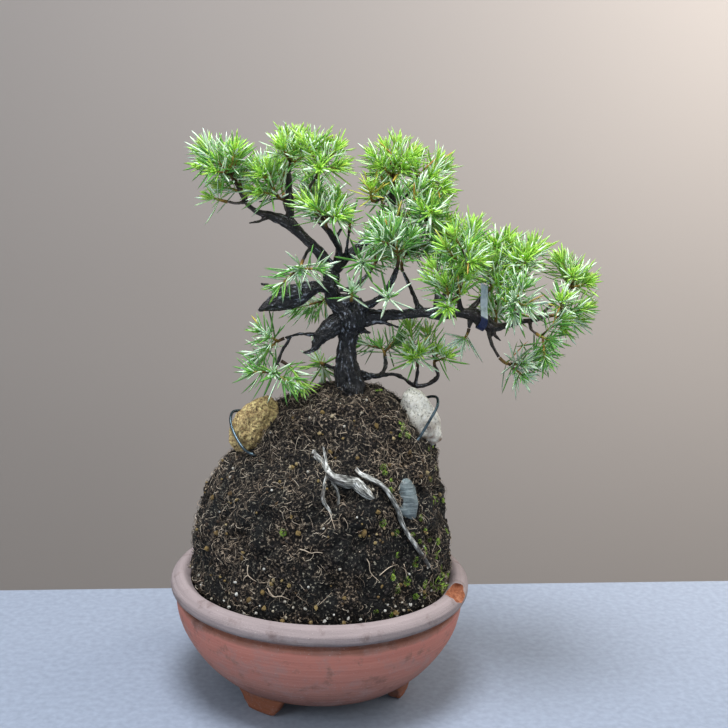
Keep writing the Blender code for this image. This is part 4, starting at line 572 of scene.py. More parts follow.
def broken_earthenware():
    """The same earthenware where it is broken: brighter, orange and sandy, as fired clay is
    under its weathered skin."""
    material, tree, shader = new_material("broken_earthenware")
    place = add_node(tree, "TexCoord").outputs["Object"]
    sand = add_node(tree, "TexNoise", {
        "Vector": place, "Scale": per_mm(2.2), "Detail": 7.0, "Roughness": 0.72})
    colour = add_node(tree, "ValToRGB", {"Fac": sand}, [
        (0.3, "#6b3a25"), (0.75, "#c08a66"), (0.52, "#955a3c")])
    bump = add_node(tree, "Bump", {"Height": sand, "Distance": 0.8 * MM})
    feed(tree, shader, {"Base Color": colour, "Roughness": 0.95, "IOR": 1.5, "Normal": bump})
    return material


def potting_soil(soil):
    """Damp potting soil, packed by hand: near black with a wet gleam, and browner and duller
    where the top has dried."""
    material, tree, shader = new_material("damp_potting_soil")
    place = add_node(tree, "TexCoord").outputs["Object"]
    crumbs = add_node(tree, "TexNoise", {
        "Vector": place, "Scale": per_mm(1.5), "Detail": 5.0, "Roughness": 0.7})
    wet = add_node(tree, "ValToRGB", {"Fac": crumbs}, [
        (0.45, soil.wet_colour, 0.04), (0.67, "#b4ae98"),
        (0.53, soil.wet_colour, 0.6), (0.59, soil.wet_colour, 3.0)])
    dry = add_node(tree, "ValToRGB", {"Fac": crumbs}, [
        (0.45, soil.dry_colour, 0.04), (0.65, "#b09c84"), (0.53, soil.dry_colour, 0.8)])
    height = add_node(tree, "SeparateXYZ", {"Vector": place}).outputs["Z"]
    high = add_node(tree, "MapRange", {
        "Value": height, "From": (125.0 * MM, 175.0 * MM), "To": (0.0, 0.7)})
    clouds = add_node(tree, "TexNoise", {"Vector": place, "Scale": per_mm(18.0), "Detail": 5.0})
    patch = add_node(tree, "MapRange", {"Value": clouds, "From": (0.46, 0.62), "To": (0.0, 0.9)})
    share = add_node(tree, "Math", {0: high, 1: patch}, operation="MAXIMUM")
    colour = add_node(tree, "MixRGB", {"Fac": share, "Color1": wet, "Color2": dry})
    gleam = add_node(tree, "MapRange", {"Value": clouds, "From": (0.36, 0.6), "To": (0.6, 0.95)})
    bump = add_node(tree, "Bump", {"Height": crumbs, "Distance": 2.0 * MM})
    feed(tree, shader, {"Base Color": colour, "Roughness": gleam, "IOR": 1.33, "Normal": bump})
    return material


def hair_root(soil):
    """Dry hair roots, grown thin and left bare: matt, from purplish brown to straw. Real ones
    are 0.1 to 0.3 mm thick; these are drawn at the thick end, so that they show."""
    material, tree, shader = new_material("dry_hair_root")
    tint, _ = corner_marks(tree)
    colour = add_node(tree, "ValToRGB", {"Fac": tint}, [
        (0.0, soil.rootlet_colour, 0.14), (1.0, "#d8cbb4"),
        (0.3, soil.rootlet_colour, 0.42), (0.6, soil.rootlet_colour),
        (0.85, soil.rootlet_colour, 1.9)])
    feed(tree, shader, {"Base Color": colour, "Roughness": 0.8, "IOR": 1.45})
    return material


def soil_grit():
    """Grit mixed into the soil: dark crumbs, baked ochre clay and white pumice, all broken and
    matt. The tint of a grain says which it is."""
    material, tree, shader = new_material("baked_clay_and_pumice_grit")
    tint, _ = corner_marks(tree)
    base = add_node(tree, "ValToRGB", {"Fac": tint}, [
        (0.0, "#14110f"), (1.0, "#dfded4"), (0.3, "#332a24"), (0.45, "#56432f"),
        (0.6, "#7c6637"), (0.75, "#a38e5c"), (0.9, "#cfcabb")])
    place = add_node(tree, "TexCoord").outputs["Object"]
    grain = add_node(tree, "TexNoise", {
        "Vector": place, "Scale": per_mm(0.8), "Detail": 6.0, "Roughness": 0.7})
    colour = mottled(tree, base, grain, [(0.3, "#6a6a6a"), (0.65, "#ffffff")], 0.8)
    bump = add_node(tree, "Bump", {"Height": grain, "Distance": 0.4 * MM})
    feed(tree, shader, {"Base Color": colour, "Roughness": 0.9, "IOR": 1.5, "Normal": bump})
    return material


def young_moss(soil):
    """Young moss and grass, freshly grown: thin soft blades that let a little light through."""
    material, tree, shader = new_material("young_moss")
    tint, along = corner_marks(tree)
    blade = add_node(tree, "ValToRGB", {"Fac": tint}, [
        (0.0, soil.moss_colour, 0.35), (1.0, soil.moss_colour, 1.7), (0.5, soil.moss_colour)])
    colour = overlaid(tree, blade, "#28351a", along, (0.0, 0.5), (0.7, 0.0))
    feed(tree, shader, {
        "Base Color": colour, "Roughness": 0.6, "IOR": 1.4, "Subsurface Weight": 0.1,
        "Subsurface Scale": 1.0 * MM})
    return material


def slate(stones):
    """Blue-grey slate, split and worn by weather: dull, with pale and dark lines where its
    layers meet the surface."""
    material, tree, shader = new_material("worn_blue_slate")
    place = add_node(tree, "TexCoord").outputs["Object"]
    clouds = add_node(tree, "TexNoise", {
        "Vector": place, "Scale": per_mm(7.0), "Detail": 8.0, "Roughness": 0.68})
    base = add_node(tree, "ValToRGB", {"Fac": clouds}, [
        (0.3, stones.rock_colour, 0.45), (0.72, stones.rock_colour, 1.7), (0.5, stones.rock_colour)])
    bed = add_node(tree, "Mapping", {
        "Vector": place, "Rotation": (0.5, 0.9, 0.0), "Scale": (1.0, 1.0, 7.0)})
    layers = add_node(tree, "TexNoise", {
        "Vector": bed, "Scale": per_mm(11.0), "Detail": 6.0, "Roughness": 0.6})
    lined = overlaid(tree, base, "#8f9898", layers, (0.54, 0.6), (0.0, 0.5))
    colour = overlaid(tree, lined, "#2f3433", layers, (0.36, 0.42), (0.7, 0.0))
    bump = add_node(tree, "Bump", {"Height": layers, "Distance": 0.8 * MM})
    feed(tree, shader, {"Base Color": colour, "Roughness": 0.62, "IOR": 1.5, "Normal": bump})
    return material


def sandstone(stones):
    """Golden sandstone, tumbled by water: coarse grains, the brightest partly painted glints, with
    painted shade in the pits between them and brown patches."""
    material, tree, shader = new_material("golden_sandstone")
    place = add_node(tree, "TexCoord").outputs["Object"]
    sand = add_node(tree, "TexNoise", {
        "Vector": place, "Scale": per_mm(1.7), "Detail": 8.0, "Roughness": 0.78})
    # Grains of the stone, whose brightest stop is partly a painted glint
    base = add_node(tree, "ValToRGB", {"Fac": sand}, [
        (0.38, stones.sandstone_colour, 0.2),
        (0.64, stones.sandstone_colour, 2.4), (0.5, stones.sandstone_colour)])
    clouds = add_node(tree, "TexNoise", {"Vector": place, "Scale": per_mm(8.0), "Detail": 5.0})
    brown = overlaid(tree, base, "#76572f", clouds, (0.48, 0.64), (0.0, 0.6))
    # Painted shade in the pits: dark brown laid where the stone's holes are, with no holes in its shape
    pit_shade = add_node(tree, "TexNoise", {"Vector": place, "Scale": per_mm(1.3), "Detail": 2.0})
    colour = overlaid(tree, brown, "#33240f", pit_shade, (0.34, 0.42), (0.8, 0.0))
    bump = add_node(tree, "Bump", {"Height": sand, "Distance": 1.1 * MM})
    feed(tree, shader, {"Base Color": colour, "Roughness": 0.88, "IOR": 1.5, "Normal": bump})
    return material


def granite(stones):
    """Pale granite pebble, worn round: cream and grey crystals with dark specks, and a rusty
    stain low down."""
    material, tree, shader = new_material("pale_granite")
    place = add_node(tree, "TexCoord").outputs["Object"]
    crystals = add_node(tree, "TexNoise", {
        "Vector": place, "Scale": per_mm(1.5), "Detail": 7.0, "Roughness": 0.75})
    base = add_node(tree, "ValToRGB", {"Fac": crystals}, [
        (0.3, stones.granite_colour, 0.45), (0.74, stones.granite_colour, 1.5),
        (0.5, stones.granite_colour)])
    mica = add_node(tree, "TexNoise", {"Vector": place, "Scale": per_mm(1.1), "Detail": 2.0})
    speckled = overlaid(tree, base, "#635c51", mica, (0.6, 0.66), (0.0, 0.6))
    height = add_node(tree, "SeparateXYZ", {"Vector": place}).outputs["Z"]
    low = add_node(tree, "MapRange", {
        "Value": height, "From": (152.0 * MM, 164.0 * MM), "To": (0.9, 0.0)})
    clouds = add_node(tree, "TexNoise", {"Vector": place, "Scale": per_mm(6.0), "Detail": 4.0})
    blots = add_node(tree, "MapRange", {"Value": clouds, "From": (0.4, 0.6)})
    rust = add_node(tree, "Math", {0: low, 1: blots}, operation="MULTIPLY")
    colour = add_node(tree, "MixRGB", {"Fac": rust, "Color1": speckled, "Color2": "#74512f"})
    bump = add_node(tree, "Bump", {"Height": crystals, "Distance": 0.6 * MM})
    feed(tree, shader, {"Base Color": colour, "Roughness": 0.75, "IOR": 1.5, "Normal": bump})
    return material


def aluminium_wire(stones):
    """Anodised aluminium training wire, drawn and dyed dark: smooth, with one sharp bright line
    along it."""
    material, tree, shader = new_material("anodised_aluminium_wire")
    place = add_node(tree, "TexCoord").outputs["Object"]
    scuffs = add_node(tree, "TexNoise", {"Vector": place, "Scale": per_mm(2.5), "Detail": 5.0})
    colour = add_node(tree, "ValToRGB", {"Fac": scuffs}, [
        (0.35, stones.wire_colour, 0.7), (0.7, stones.wire_colour, 1.6)])
    shine = add_node(tree, "MapRange", {"Value": scuffs, "From": (0.3, 0.7), "To": (0.22, 0.42)})
    feed(tree, shader, {"Base Color": colour, "Metallic": 1.0, "Roughness": shine})
    return material


def limb_grain(tree, stretch):
    """Give a place in the bark, measured across and along its limb; stretch draws it out."""
    across = add_node(tree, "SeparateXYZ", {"Vector": add_node(tree, "UVMap", uv_map="across")})
    along = add_node(tree, "SeparateXYZ", {"Vector": add_node(tree, "UVMap", uv_map="along")})
    drawn = add_node(tree, "Math", {0: along.outputs["X"], 1: 1.0 / stretch}, operation="MULTIPLY")
    return add_node(tree, "CombineXYZ", {
        "X": across.outputs["X"], "Y": across.outputs["Y"], "Z": drawn}).outputs["Vector"]


def conifer_bark(bark):
    """Old conifer bark, grown and split lengthwise by age: black with a low dull shine, paler
    along the ridges between its long cracks, and browner on the thin ends. The pale blue-grey
    on the ridges is partly grey bark and partly a painted highlight."""
    material, tree, shader = new_material("old_conifer_bark")
    grain = limb_grain(tree, 6.0)
    ridges = add_node(tree, "TexNoise", {
        "Vector": grain, "Scale": per_mm(1.5), "Detail": 6.0, "Roughness": 0.62})
    place = add_node(tree, "TexCoord").outputs["Object"]
    flakes = add_node(tree, "TexNoise", {
        "Vector": place, "Scale": per_mm(1.6), "Detail": 6.0, "Roughness": 0.7})
    mixed = add_node(tree, "MixRGB", {"Fac": 0.35, "Color1": ridges, "Color2": flakes})
    # Black bark whose pale blue-grey top stop is partly the bark's own grey and partly a painted
    # highlight
    black = add_node(tree, "ValToRGB", {"Fac": mixed}, [
        (0.42, bark.old_colour, 0.15), (0.6, "#8d939d"),
        (0.5, bark.old_colour, 0.6), (0.56, bark.old_colour, 2.4)])
    brown = add_node(tree, "ValToRGB", {"Fac": mixed}, [
        (0.42, bark.young_colour, 0.15), (0.66, bark.young_colour, 4.0), (0.52, bark.young_colour, 0.8)])
    reach = add_node(tree, "VectorMath", {
        0: place, 1: (12.0 * MM, 0.0, 215.0 * MM)}, operation="DISTANCE").outputs["Value"]
    colour = overlaid(tree, black, brown, reach, (40.0 * MM, 90.0 * MM), (0.0, 0.8))
    shine = add_node(tree, "MapRange", {"Value": mixed, "From": (0.4, 0.6), "To": (0.24, 0.5)})
    bump = add_node(tree, "Bump", {"Height": mixed, "Distance": 1.6 * MM})
    feed(tree, shader, {"Base Color": colour, "Roughness": shine, "IOR": 1.5, "Normal": bump})
    return material


def root_bark(bark):
    """Bare surface root, washed clean by watering: thin silvery bark in long shreds, whose
    near-white tone is partly a painted highlight, with painted shade in the creases between
    them and brown dirt left in patches."""
    material, tree, shader = new_material("silver_root_bark")
    shreds = add_node(tree, "TexNoise", {
        "Vector": limb_grain(tree, 5.0), "Scale": per_mm(1.2), "Detail": 5.0, "Roughness": 0.6})
    # Silvery shreds: the near-white stop is partly a painted highlight, and the near-black stop is
    # painted shade in the creases
    silver_and_painted_light = add_node(tree, "ValToRGB", {"Fac": shreds}, [
        (0.4, bark.root_colour, 0.06), (0.61, "#dcded8"),
        (0.45, bark.root_colour, 0.6), (0.53, bark.root_colour)])
    place = add_node(tree, "TexCoord").outputs["Object"]
    clouds = add_node(tree, "TexNoise", {"Vector": place, "Scale": per_mm(8.0), "Detail": 4.0})
    colour = overlaid(tree, silver_and_painted_light, "#2a211f", clouds, (0.48, 0.66), (0.0, 0.75))
    bump = add_node(tree, "Bump", {"Height": shreds, "Distance": 0.8 * MM})
    feed(tree, shader, {"Base Color": colour, "Roughness": 0.5, "IOR": 1.5, "Normal": bump})
    return material


def needle_skin(name, stops, foot, share, roughness):
    """Live juniper needle: waxy, lets a little light through, and is straw-coloured at its foot."""
    material, tree, shader = new_material(name)
    tint, along = corner_marks(tree)
    skin = add_node(tree, "ValToRGB", {"Fac": tint}, stops)
    colour = overlaid(tree, skin, foot, along, (0.0, 0.16), (share, 0.0))
    feed(tree, shader, {
        "Base Color": colour, "Roughness": roughness, "IOR": 1.45, "Subsurface Weight": 0.08,
        "Subsurface Scale": 1.0 * MM})
    return material


def needle_keel(leaves):
    """The needle's outer side: green, yellower where young, straw where it dies."""
    return needle_skin("juniper_needle_keel", [
        (0.0, leaves.keel_colour, 0.4), (1.0, "#bd7f3a"), (0.35, leaves.keel_colour),
        (0.65, leaves.young_colour, 0.72), (0.87, leaves.young_colour),
        (0.93, "#cdbb4c")], "#a98f45", 0.5, 0.42)


def needle_band(leaves):
    """The needle's inner side: a band of white wax, which turns the green to blue-grey."""
    return needle_skin("juniper_needle_wax_band", [
        (0.0, leaves.band_colour, 0.62), (1.0, "#cf9f52"), (0.35, leaves.band_colour),
        (0.6, leaves.band_colour, 1.08), (0.74, leaves.young_colour, 1.05),
        (0.88, leaves.young_colour, 1.2), (0.94, "#dccd68")], "#b7a558", 0.4, 0.52)


def shoot_bark(leaves):
    """Young shoot, still covered in the feet of old needles: brown low down, ochre and green
    towards its tip, and matt."""
    material, tree, shader = new_material("young_shoot_bark")
    tint, along = corner_marks(tree)
    shift = add_node(tree, "MapRange", {"Value": tint, "To": (-0.3, 0.3)})
    age = add_node(tree, "Math", {0: along, 1: shift}, operation="ADD")
    base = add_node(tree, "ValToRGB", {"Fac": age}, [
        (0.0, "#46331f"), (1.0, "#9fae50"), (0.3, leaves.shoot_colour, 0.55), (0.6, leaves.shoot_colour)])
    place = add_node(tree, "TexCoord").outputs["Object"]
    scales = add_node(tree, "TexNoise", {"Vector": place, "Scale": per_mm(0.9), "Detail": 5.0})
    colour = mottled(tree, base, scales, [(0.35, "#5a5a5a"), (0.62, "#ffffff")], 0.8)
    bump = add_node(tree, "Bump", {"Height": scales, "Distance": 0.4 * MM})
    feed(tree, shader, {"Base Color": colour, "Roughness": 0.7, "IOR": 1.45, "Normal": bump})
    return material


def label_film(label):
    """Polypropylene plant label film, extruded and left bare here: smooth and glossy, white
    above and dark blue where it goes round the limb, with faint scuffs."""
    material, tree, shader = new_material("polypropylene_label_film")
    tint, _ = corner_marks(tree)
    film = overlaid(tree, label.loop_colour, label.film_colour, tint, (0.33, 0.36), (0.0, 1.0))
    place = add_node(tree, "TexCoord").outputs["Object"]
    scuffs = add_node(tree, "TexNoise", {"Vector": place, "Scale": per_mm(3.0), "Detail": 6.0})
    colour = mottled(tree, film, scuffs, [(0.35, "#b9c6cc"), (0.6, "#ffffff")], 0.7)
    shine = add_node(tree, "MapRange", {"Value": scuffs, "From": (0.3, 0.7), "To": (0.2, 0.45)})
    feed(tree, shader, {"Base Color": colour, "Roughness": shine, "IOR": 1.49})
    return material


def polythene_mesh():
    """Polythene drain mesh, moulded in black: dull and slightly waxy, greyed by dried soil."""
    material, tree, shader = new_material("moulded_polythene_mesh")
    place = add_node(tree, "TexCoord").outputs["Object"]
    dust = add_node(tree, "TexNoise", {"Vector": place, "Scale": per_mm(1.5), "Detail": 6.0})
    colour = add_node(tree, "ValToRGB", {"Fac": dust}, [
        (0.35, "#101412"), (0.72, "#4a443a"), (0.55, "#222824")])
    feed(tree, shader, {"Base Color": colour, "Roughness": 0.55, "IOR": 1.51})
    return material


def stage_paint(name, colour, size, spread):
    """Matt emulsion paint, rolled on: clouds of a given size and spread in its tone."""
    material, tree, shader = new_material(name)
    place = add_node(tree, "TexCoord").outputs["Object"]
    clouds = add_node(tree, "TexNoise", {"Vector": place, "Scale": per_mm(size), "Detail": 4.0})
    tone = add_node(tree, "ValToRGB", {"Fac": clouds}, [
        (0.3, colour, 1.0 - spread), (0.7, colour, 1.0 + spread)])
    feed(tree, shader, {"Base Color": tone, "Roughness": 0.7, "IOR": 1.45})
    return material


# Shapes, all in millimetres from the pot's axis

def smoothed(points, steps):
    """Read extra points from a smooth curve through a given route."""
    points = [Vector(point) for point in points]
    curve = []
    last = len(points) - 1
    for i in range(last):
        before = points[max(i - 1, 0)]
        start, end = points[i], points[i + 1]
        after = points[min(i + 2, last)]
        for step in range(steps):
            t = step / steps
            curve.append(0.5 * (
                2.0 * start + (end - before) * t
                + (2.0 * before - 5.0 * start + 4.0 * end - after) * t ** 2
                + (3.0 * start - before - 3.0 * end + after) * t ** 3))
    curve.append(points[last])
    return curve


def between(start, end, share):
    """Give the value at a share of the way from one value to another."""
    return start + (end - start) * share


def tapered(radius, drop, steps):
    """Give radii that shrink evenly along a route, by a share of the first."""
    return [radius * (1.0 - drop * i / steps) for i in range(steps + 1)]


def perpendicular(axis, angle):
    """Give the unit vector square to an axis at an angle round it, measured from the top."""
    up = Vector((0.0, 0.0, 1.0))
    if abs(axis.dot(up)) > 0.95:
        up = Vector((0.0, -1.0, 0.0))
    side = axis.cross(up).normalized()
    top = side.cross(axis).normalized()
    return top * math.cos(angle) + side * math.sin(angle)


def carried_frames(route):
    """Carry two cross directions along a route without twisting them."""
    last = len(route) - 1
    side = None
    for i in range(last + 1):
        way = (route[min(i + 1, last)] - route[max(i - 1, 0)]).normalized()
        if side is None:
            side = perpendicular(way, 0.0)
        side = (side - way * side.dot(way)).normalized()
        yield side, way.cross(side)


def write_marks(mesh, name, pairs):
    """Keep a pair of numbers for every corner of a mesh, for its material to read."""
    owners = np.empty(len(mesh.loops), dtype=np.int32)
    mesh.loops.foreach_get("vertex_index", owners)
    layer = mesh.uv_layers.new(name=name)
    layer.data.foreach_set("uv", np.array(pairs, dtype=np.float32)[owners].ravel())


def rows_of(items, field):
    """Read one vector of every corner of a mesh into rows of numbers."""
    rows = np.empty(len(items) * 3)
    items.foreach_get(field, rows)
    return rows.reshape(-1, 3)


class Pile:
    """Gathers the corners, faces, finishes and marks of many pieces into one mesh."""

    def __init__(self):
        self.corners = []
        self.faces = []
        self.finishes = []
        self.marks = []

    def add(self, corners, faces, finish=0, tint=0.5, along=None):
        """Put one piece of given corners and faces on the pile."""
        first = len(self.corners)
        self.corners.extend(corners)
        self.faces.extend(tuple(first + i for i in face) for face in faces)
        self.finishes.extend([finish] * len(faces))
        ways = along or [0.5] * len(corners)
        self.marks.extend((tint, way) for way in ways)

    def tube(self, route, radii, sides, finish=0, tint=0.5, relief=None):
        """Sweep a round section along a route, with an optional relief of its radius."""
        corners = []
        along = []
        last = len(route) - 1
        for ring, (side, top) in enumerate(carried_frames(route)):
            for k in range(sides):
                angle = math.tau * k / sides
                radius = radii[ring]
                if relief:
                    radius = relief(radius, angle, ring)
                out = side * math.cos(angle) + top * math.sin(angle)
                corners.append(route[ring] + out * radius)
                along.append(ring / last)
        faces = [tuple(reversed(range(sides))), tuple(last * sides + k for k in range(sides))]
        for ring in range(last):
            for k in range(sides):
                a = ring * sides + k
                b = ring * sides + (k + 1) % sides
                faces.append((a, b, b + sides, a + sides))
        self.add(corners, faces, finish, tint, along)

    def mesh(self, name):
        """Turn the pile into a bare mesh."""
        mesh = bpy.data.meshes.new(name)
        mesh.from_pydata([corner * MM for corner in self.corners], [], self.faces)
        return mesh

    def piece(self, name, materials, slot, nodes=(), smooth=True):
        """Turn the pile into a piece that rides on the object and stands for its solids."""
        mesh = self.mesh(name)
        mesh.polygons.foreach_set("material_index", self.finishes)
        write_marks(mesh, "marks", self.marks)
        if smooth:
            mesh.shade_smooth()
        mesh.update()
        return place_piece(name, mesh, materials, nodes)


def new_object(name, data):
    """Put a mesh, a light or a camera into the scene as an object."""
    obj = bpy.data.objects.new(name, data)
    bpy.context.scene.collection.objects.link(obj)
    return obj


def modified_mesh(obj):
    """Give an object's mesh as its modifiers leave it, and take them off."""
    bpy.context.view_layer.update()
    graph = bpy.context.evaluated_depsgraph_get()
    mesh = bpy.data.meshes.new_from_object(obj.evaluated_get(graph))
    obj.modifiers.clear()
    return mesh


def rings_of_faces(rings, steps, closed=False):
    """Join rings of corners by four-sided faces; closed joins the last ring to the first."""
    faces = []
    for ring in range(rings if closed else rings - 1):
        first, other = ring * steps, (ring + 1) % rings * steps
        for step in range(steps):
            near = (step + 1) % steps
            faces.append((first + step, first + near, other + near, other + step))
    return faces


def place_piece(name, mesh, materials, nodes=()):
    """Stand a finished mesh on the pot's axis and let it ride on the object."""
    obj = new_object(name, mesh)
    for material in materials:
        mesh.materials.append(material)
    obj.location = POT_AXIS
    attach(obj, "root")
    if nodes:
        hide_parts(*nodes)
    return obj


def corners_and_faces(bm):
    """Read a worked mesh's corners and faces, and free it."""
    corners = [vert.co.copy() for vert in bm.verts]
    faces = [tuple(vert.index for vert in face.verts) for face in bm.faces]
    bm.free()
    return corners, faces


def solid_tree(node):
    """Give a solid of the frame as a search tree in millimetres from the pot's axis."""
    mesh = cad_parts[node].data
    corners = [(vert.co - POT_AXIS) / MM for vert in mesh.vertices]
    return BVHTree.FromPolygons(corners, [tuple(face.vertices) for face in mesh.polygons])


def ball(detail):
    """Give the corners and faces of a ball of one unit, made of triangles."""
    bm = bmesh.new()
    bmesh.ops.create_icosphere(bm, subdivisions=detail, radius=1.0)
    for vert in bm.verts:
        vert.co.normalize()
    return corners_and_faces(bm)


def weathered(pile, ball_shape, place, turn_axis, chips, chip_size):
    """Add a stone: a ball stretched to its radii, hollowed by wear and chipped finely."""
    centre, radii, turn, wear = place
    centre = Vector(centre)
    matrix = Matrix.Rotation(math.radians(turn), 3, turn_axis)
    corners = []
    for direction in ball_shape[0]:
        worn = noise.noise(direction * 1.7 + centre * 0.09) * wear
        rough = noise.noise(direction * radii[2] / chip_size + centre) * chips
        rough += noise.noise(direction * radii[2] / chip_size * 3.1 + centre) * chips * 0.4
        corner = Vector(direction[i] * (radii[i] + worn + rough) for i in range(3))
        corners.append(matrix @ corner + centre)
    pile.add(corners, ball_shape[1])


# Bowl

def foot_corners(angle):
    """Bend a fine block into one foot, drawn in towards its sole, with softened edges."""
    bm = bmesh.new()
    bmesh.ops.create_cube(bm, size=2.0)
    bmesh.ops.bevel(bm, geom=bm.edges[:], offset=0.22, segments=3, affect="EDGES", profile=0.5)
    bmesh.ops.subdivide_edges(bm, edges=bm.edges[:], cuts=5, use_grid_fill=True)
    for vert in bm.verts:
        along = vert.co.x
        across = (vert.co.y + 1.0) / 2.0
        height = (vert.co.z + 1.0) / 2.0
        half = between(*FOOT_HALF_ANGLE, height)
        radius = between(between(*FOOT_SOLE, across), between(*FOOT_HEAD, across), height)
        turn = math.radians(angle + along * half)
        vert.co = Vector((radius * math.sin(turn), -radius * math.cos(turn), FOOT_TOP * height))
        if vert.co.z > 0.5:
            vert.co += vert.co.normalized() * noise.noise(vert.co / 3.0) * 0.5
    return corners_and_faces(bm)


def turned_bowl(steps):
    """Turn the bowl's smooth profile and give it the small unevenness of thrown clay."""
    inside = smoothed(POT_INSIDE + POT_OUTSIDE[:1], 4)
    profile = smoothed(POT_OUTSIDE, 5) + DRAIN_HOLE + inside[:-1]
    corners = []
    for radius, height in profile:
        for step in range(steps):
            angle = math.tau * step / steps
            place = Vector((radius * math.cos(angle), radius * math.sin(angle), height))
            uneven = noise.noise(place / 19.0) * 0.3 + noise.noise(place / 4.0) * 0.08
            out = Vector((math.cos(angle), math.sin(angle), 0.0))
            corners.append(place + out * min(uneven, RIM_RADIUS - radius))
    faces = rings_of_faces(len(profile), steps, closed=True)
    return corners, [(a, d, c, b) for a, b, c, d in faces]


def break_chip(bowl):
    """Break the chip out of the collar; the broken face keeps the fresh clay's finish."""
    angle = math.radians(CHIP_ANGLE)
    centre = (CHIP_PLACE[0] * math.sin(angle), -CHIP_PLACE[0] * math.cos(angle), CHIP_PLACE[1])
    pile = Pile()
    place = (centre, CHIP_SIZE, CHIP_ANGLE, CHIP_WEAR)
    weathered(pile, ball(5), place, "Z", chips=0.5, chip_size=3.0)
    mesh = pile.mesh("chip")
    mesh.materials.append(bowl.data.materials[1])
    cutter = new_object("chip", mesh)
    cutter.location = POT_AXIS
    cut = bowl.modifiers.new("chip", "BOOLEAN")
    cut.operation = "DIFFERENCE"
    cut.object = cutter
    cut.solver = "EXACT"
    cut.material_mode = "TRANSFER"
    bowl.data = modified_mesh(bowl)
    bpy.data.objects.remove(cutter, do_unlink=True)


def make_bowl(pot):
    """Make the clay bowl with its feet and its broken collar."""
    clay = earthenware(pot)
    pile = Pile()
    pile.add(*turned_bowl(pot.turning_steps))
    bowl = pile.piece("clay_bowl", [clay, broken_earthenware()], "terracotta", ["pot"])
    break_chip(bowl)
    bowl.data.shade_smooth()
    bowl.data.set_sharp_from_angle(angle=math.radians(50.0))
    feet = Pile()
    for angle in FOOT_ANGLES:
        feet.add(*foot_corners(angle))
    feet.piece("clay_feet", [clay], "terracotta", ["pot"])


# Soil and what lies on it

def mound_point(ring, angle):
    """Give a point on the mound's skin and the way out of it."""
    height, width, shift = ring
    base, top = MOUND_RINGS[-1][0], MOUND_RINGS[0][0]
    rise = (height - base) / (top - base)
    depth = between(*MOUND_DEPTH, rise)
    flat = Vector((width * math.cos(angle), width * math.sin(angle), height))
    away = Vector((flat.x, flat.y, (height - base) * 0.35 + 0.001)).normalized()
    lump = noise.noise(flat / LUMP_SIZE) + 0.5 * noise.noise(flat / LUMP_SIZE * 2.3)
    swell = lump * LUMP_HEIGHT * min(1.0, max(0.0, (height - base) / 12.0))
    return Vector((flat.x + shift, flat.y * depth, height)) + away * swell, away


def crumbly(place, soil):
    """Give the height of the soil's crumbs at a place."""
    size = soil.crumb_size / MM
    coarse = noise.noise(place / size)
    fine = noise.noise(place / (size * 0.42) + Vector((7.0, 3.0, 1.0)))
    grit = noise.noise(place / (size * 0.2))
    return (coarse * 0.75 + fine * 0.5 + grit * 0.3) * soil.crumb_height / MM


def make_soil(soil):
    """Shape the mound's fine skin, from under the bowl's edge to the trunk."""
    rings = smoothed(MOUND_RINGS[::-1], 13)
    rings.insert(0, Vector(SKIN_FOOT))
    steps = soil.round_steps
    corners = []
    for ring in rings:
        for step in range(steps):
            place, away = mound_point(ring, math.tau * step / steps)
            corners.append(place + away * (crumbly(place, soil) + SKIN_LIFT))
    pile = Pile()
    pile.add(corners, rings_of_faces(len(rings), steps))
    pile.piece("soil_skin", [potting_soil(soil)], "soil_and_rootlets", ["soil_mound"])


class SoilSkin:
    """The soil piece that is already made, in millimetres, to lay things on."""

    def __init__(self):
        if "soil_skin" not in bpy.data.objects:
            raise RuntimeError("make the soil before what lies on it")
        mesh = bpy.data.objects["soil_skin"].data
        self.corners = [vert.co / MM for vert in mesh.vertices]
        self.faces = [tuple(face.vertices) for face in mesh.polygons]
        self.tree = BVHTree.FromPolygons(self.corners, self.faces)

    def seen_at(self, x, z, side):
        """Find the skin's place and normal at a spot seen straight from the front or back."""
        place, normal, _, _ = self.tree.ray_cast(Vector((x, side * 200.0, z)), Vector((0.0, -side, 0.0)))
        return place, normal


def soil_spots(skin, draw, count, wanted):
    """Choose places spread evenly over the soil, kept as often as wanted says."""
    areas = np.array([(skin.corners[f[1]] - skin.corners[f[0]]).length
                      * (skin.corners[f[3]] - skin.corners[f[0]]).length for f in skin.faces])
    sums = np.cumsum(areas)
    spots = []
    while len(spots) < count:
        pick = int(np.searchsorted(sums, draw.random() * sums[-1]))
        face = [skin.corners[i] for i in skin.faces[pick]]
        place = face[0].lerp(face[1], draw.random()).lerp(
            face[3].lerp(face[2], draw.random()), draw.random())
        if place.z < LOWEST_SPOT or draw.random() > wanted(place):
            continue
        normal = (face[1] - face[0]).cross(face[3] - face[0]).normalized()
        spots.append((place, normal))
    return spots


def rootlet_cover(place):
    """Tell how thickly rootlets cover the soil: least low down at the front right."""
    bare = 0.0
    if place.y < 0.0:
        for x, z, radius in (BARE_PATCH, WET_PATCH):
            away = Vector((place.x - x, place.z - z)).length
            bare = max(bare, 1.0 - (away / radius) ** 2)
    patch = 0.4 + 1.3 * noise.noise(place / 11.0)
    high = max(0.0, min(0.5, (place.z - 115.0) / 60.0))
    return max(0.04, min(1.0, (1.0 - 0.9 * bare) * (0.1 + patch + high)))


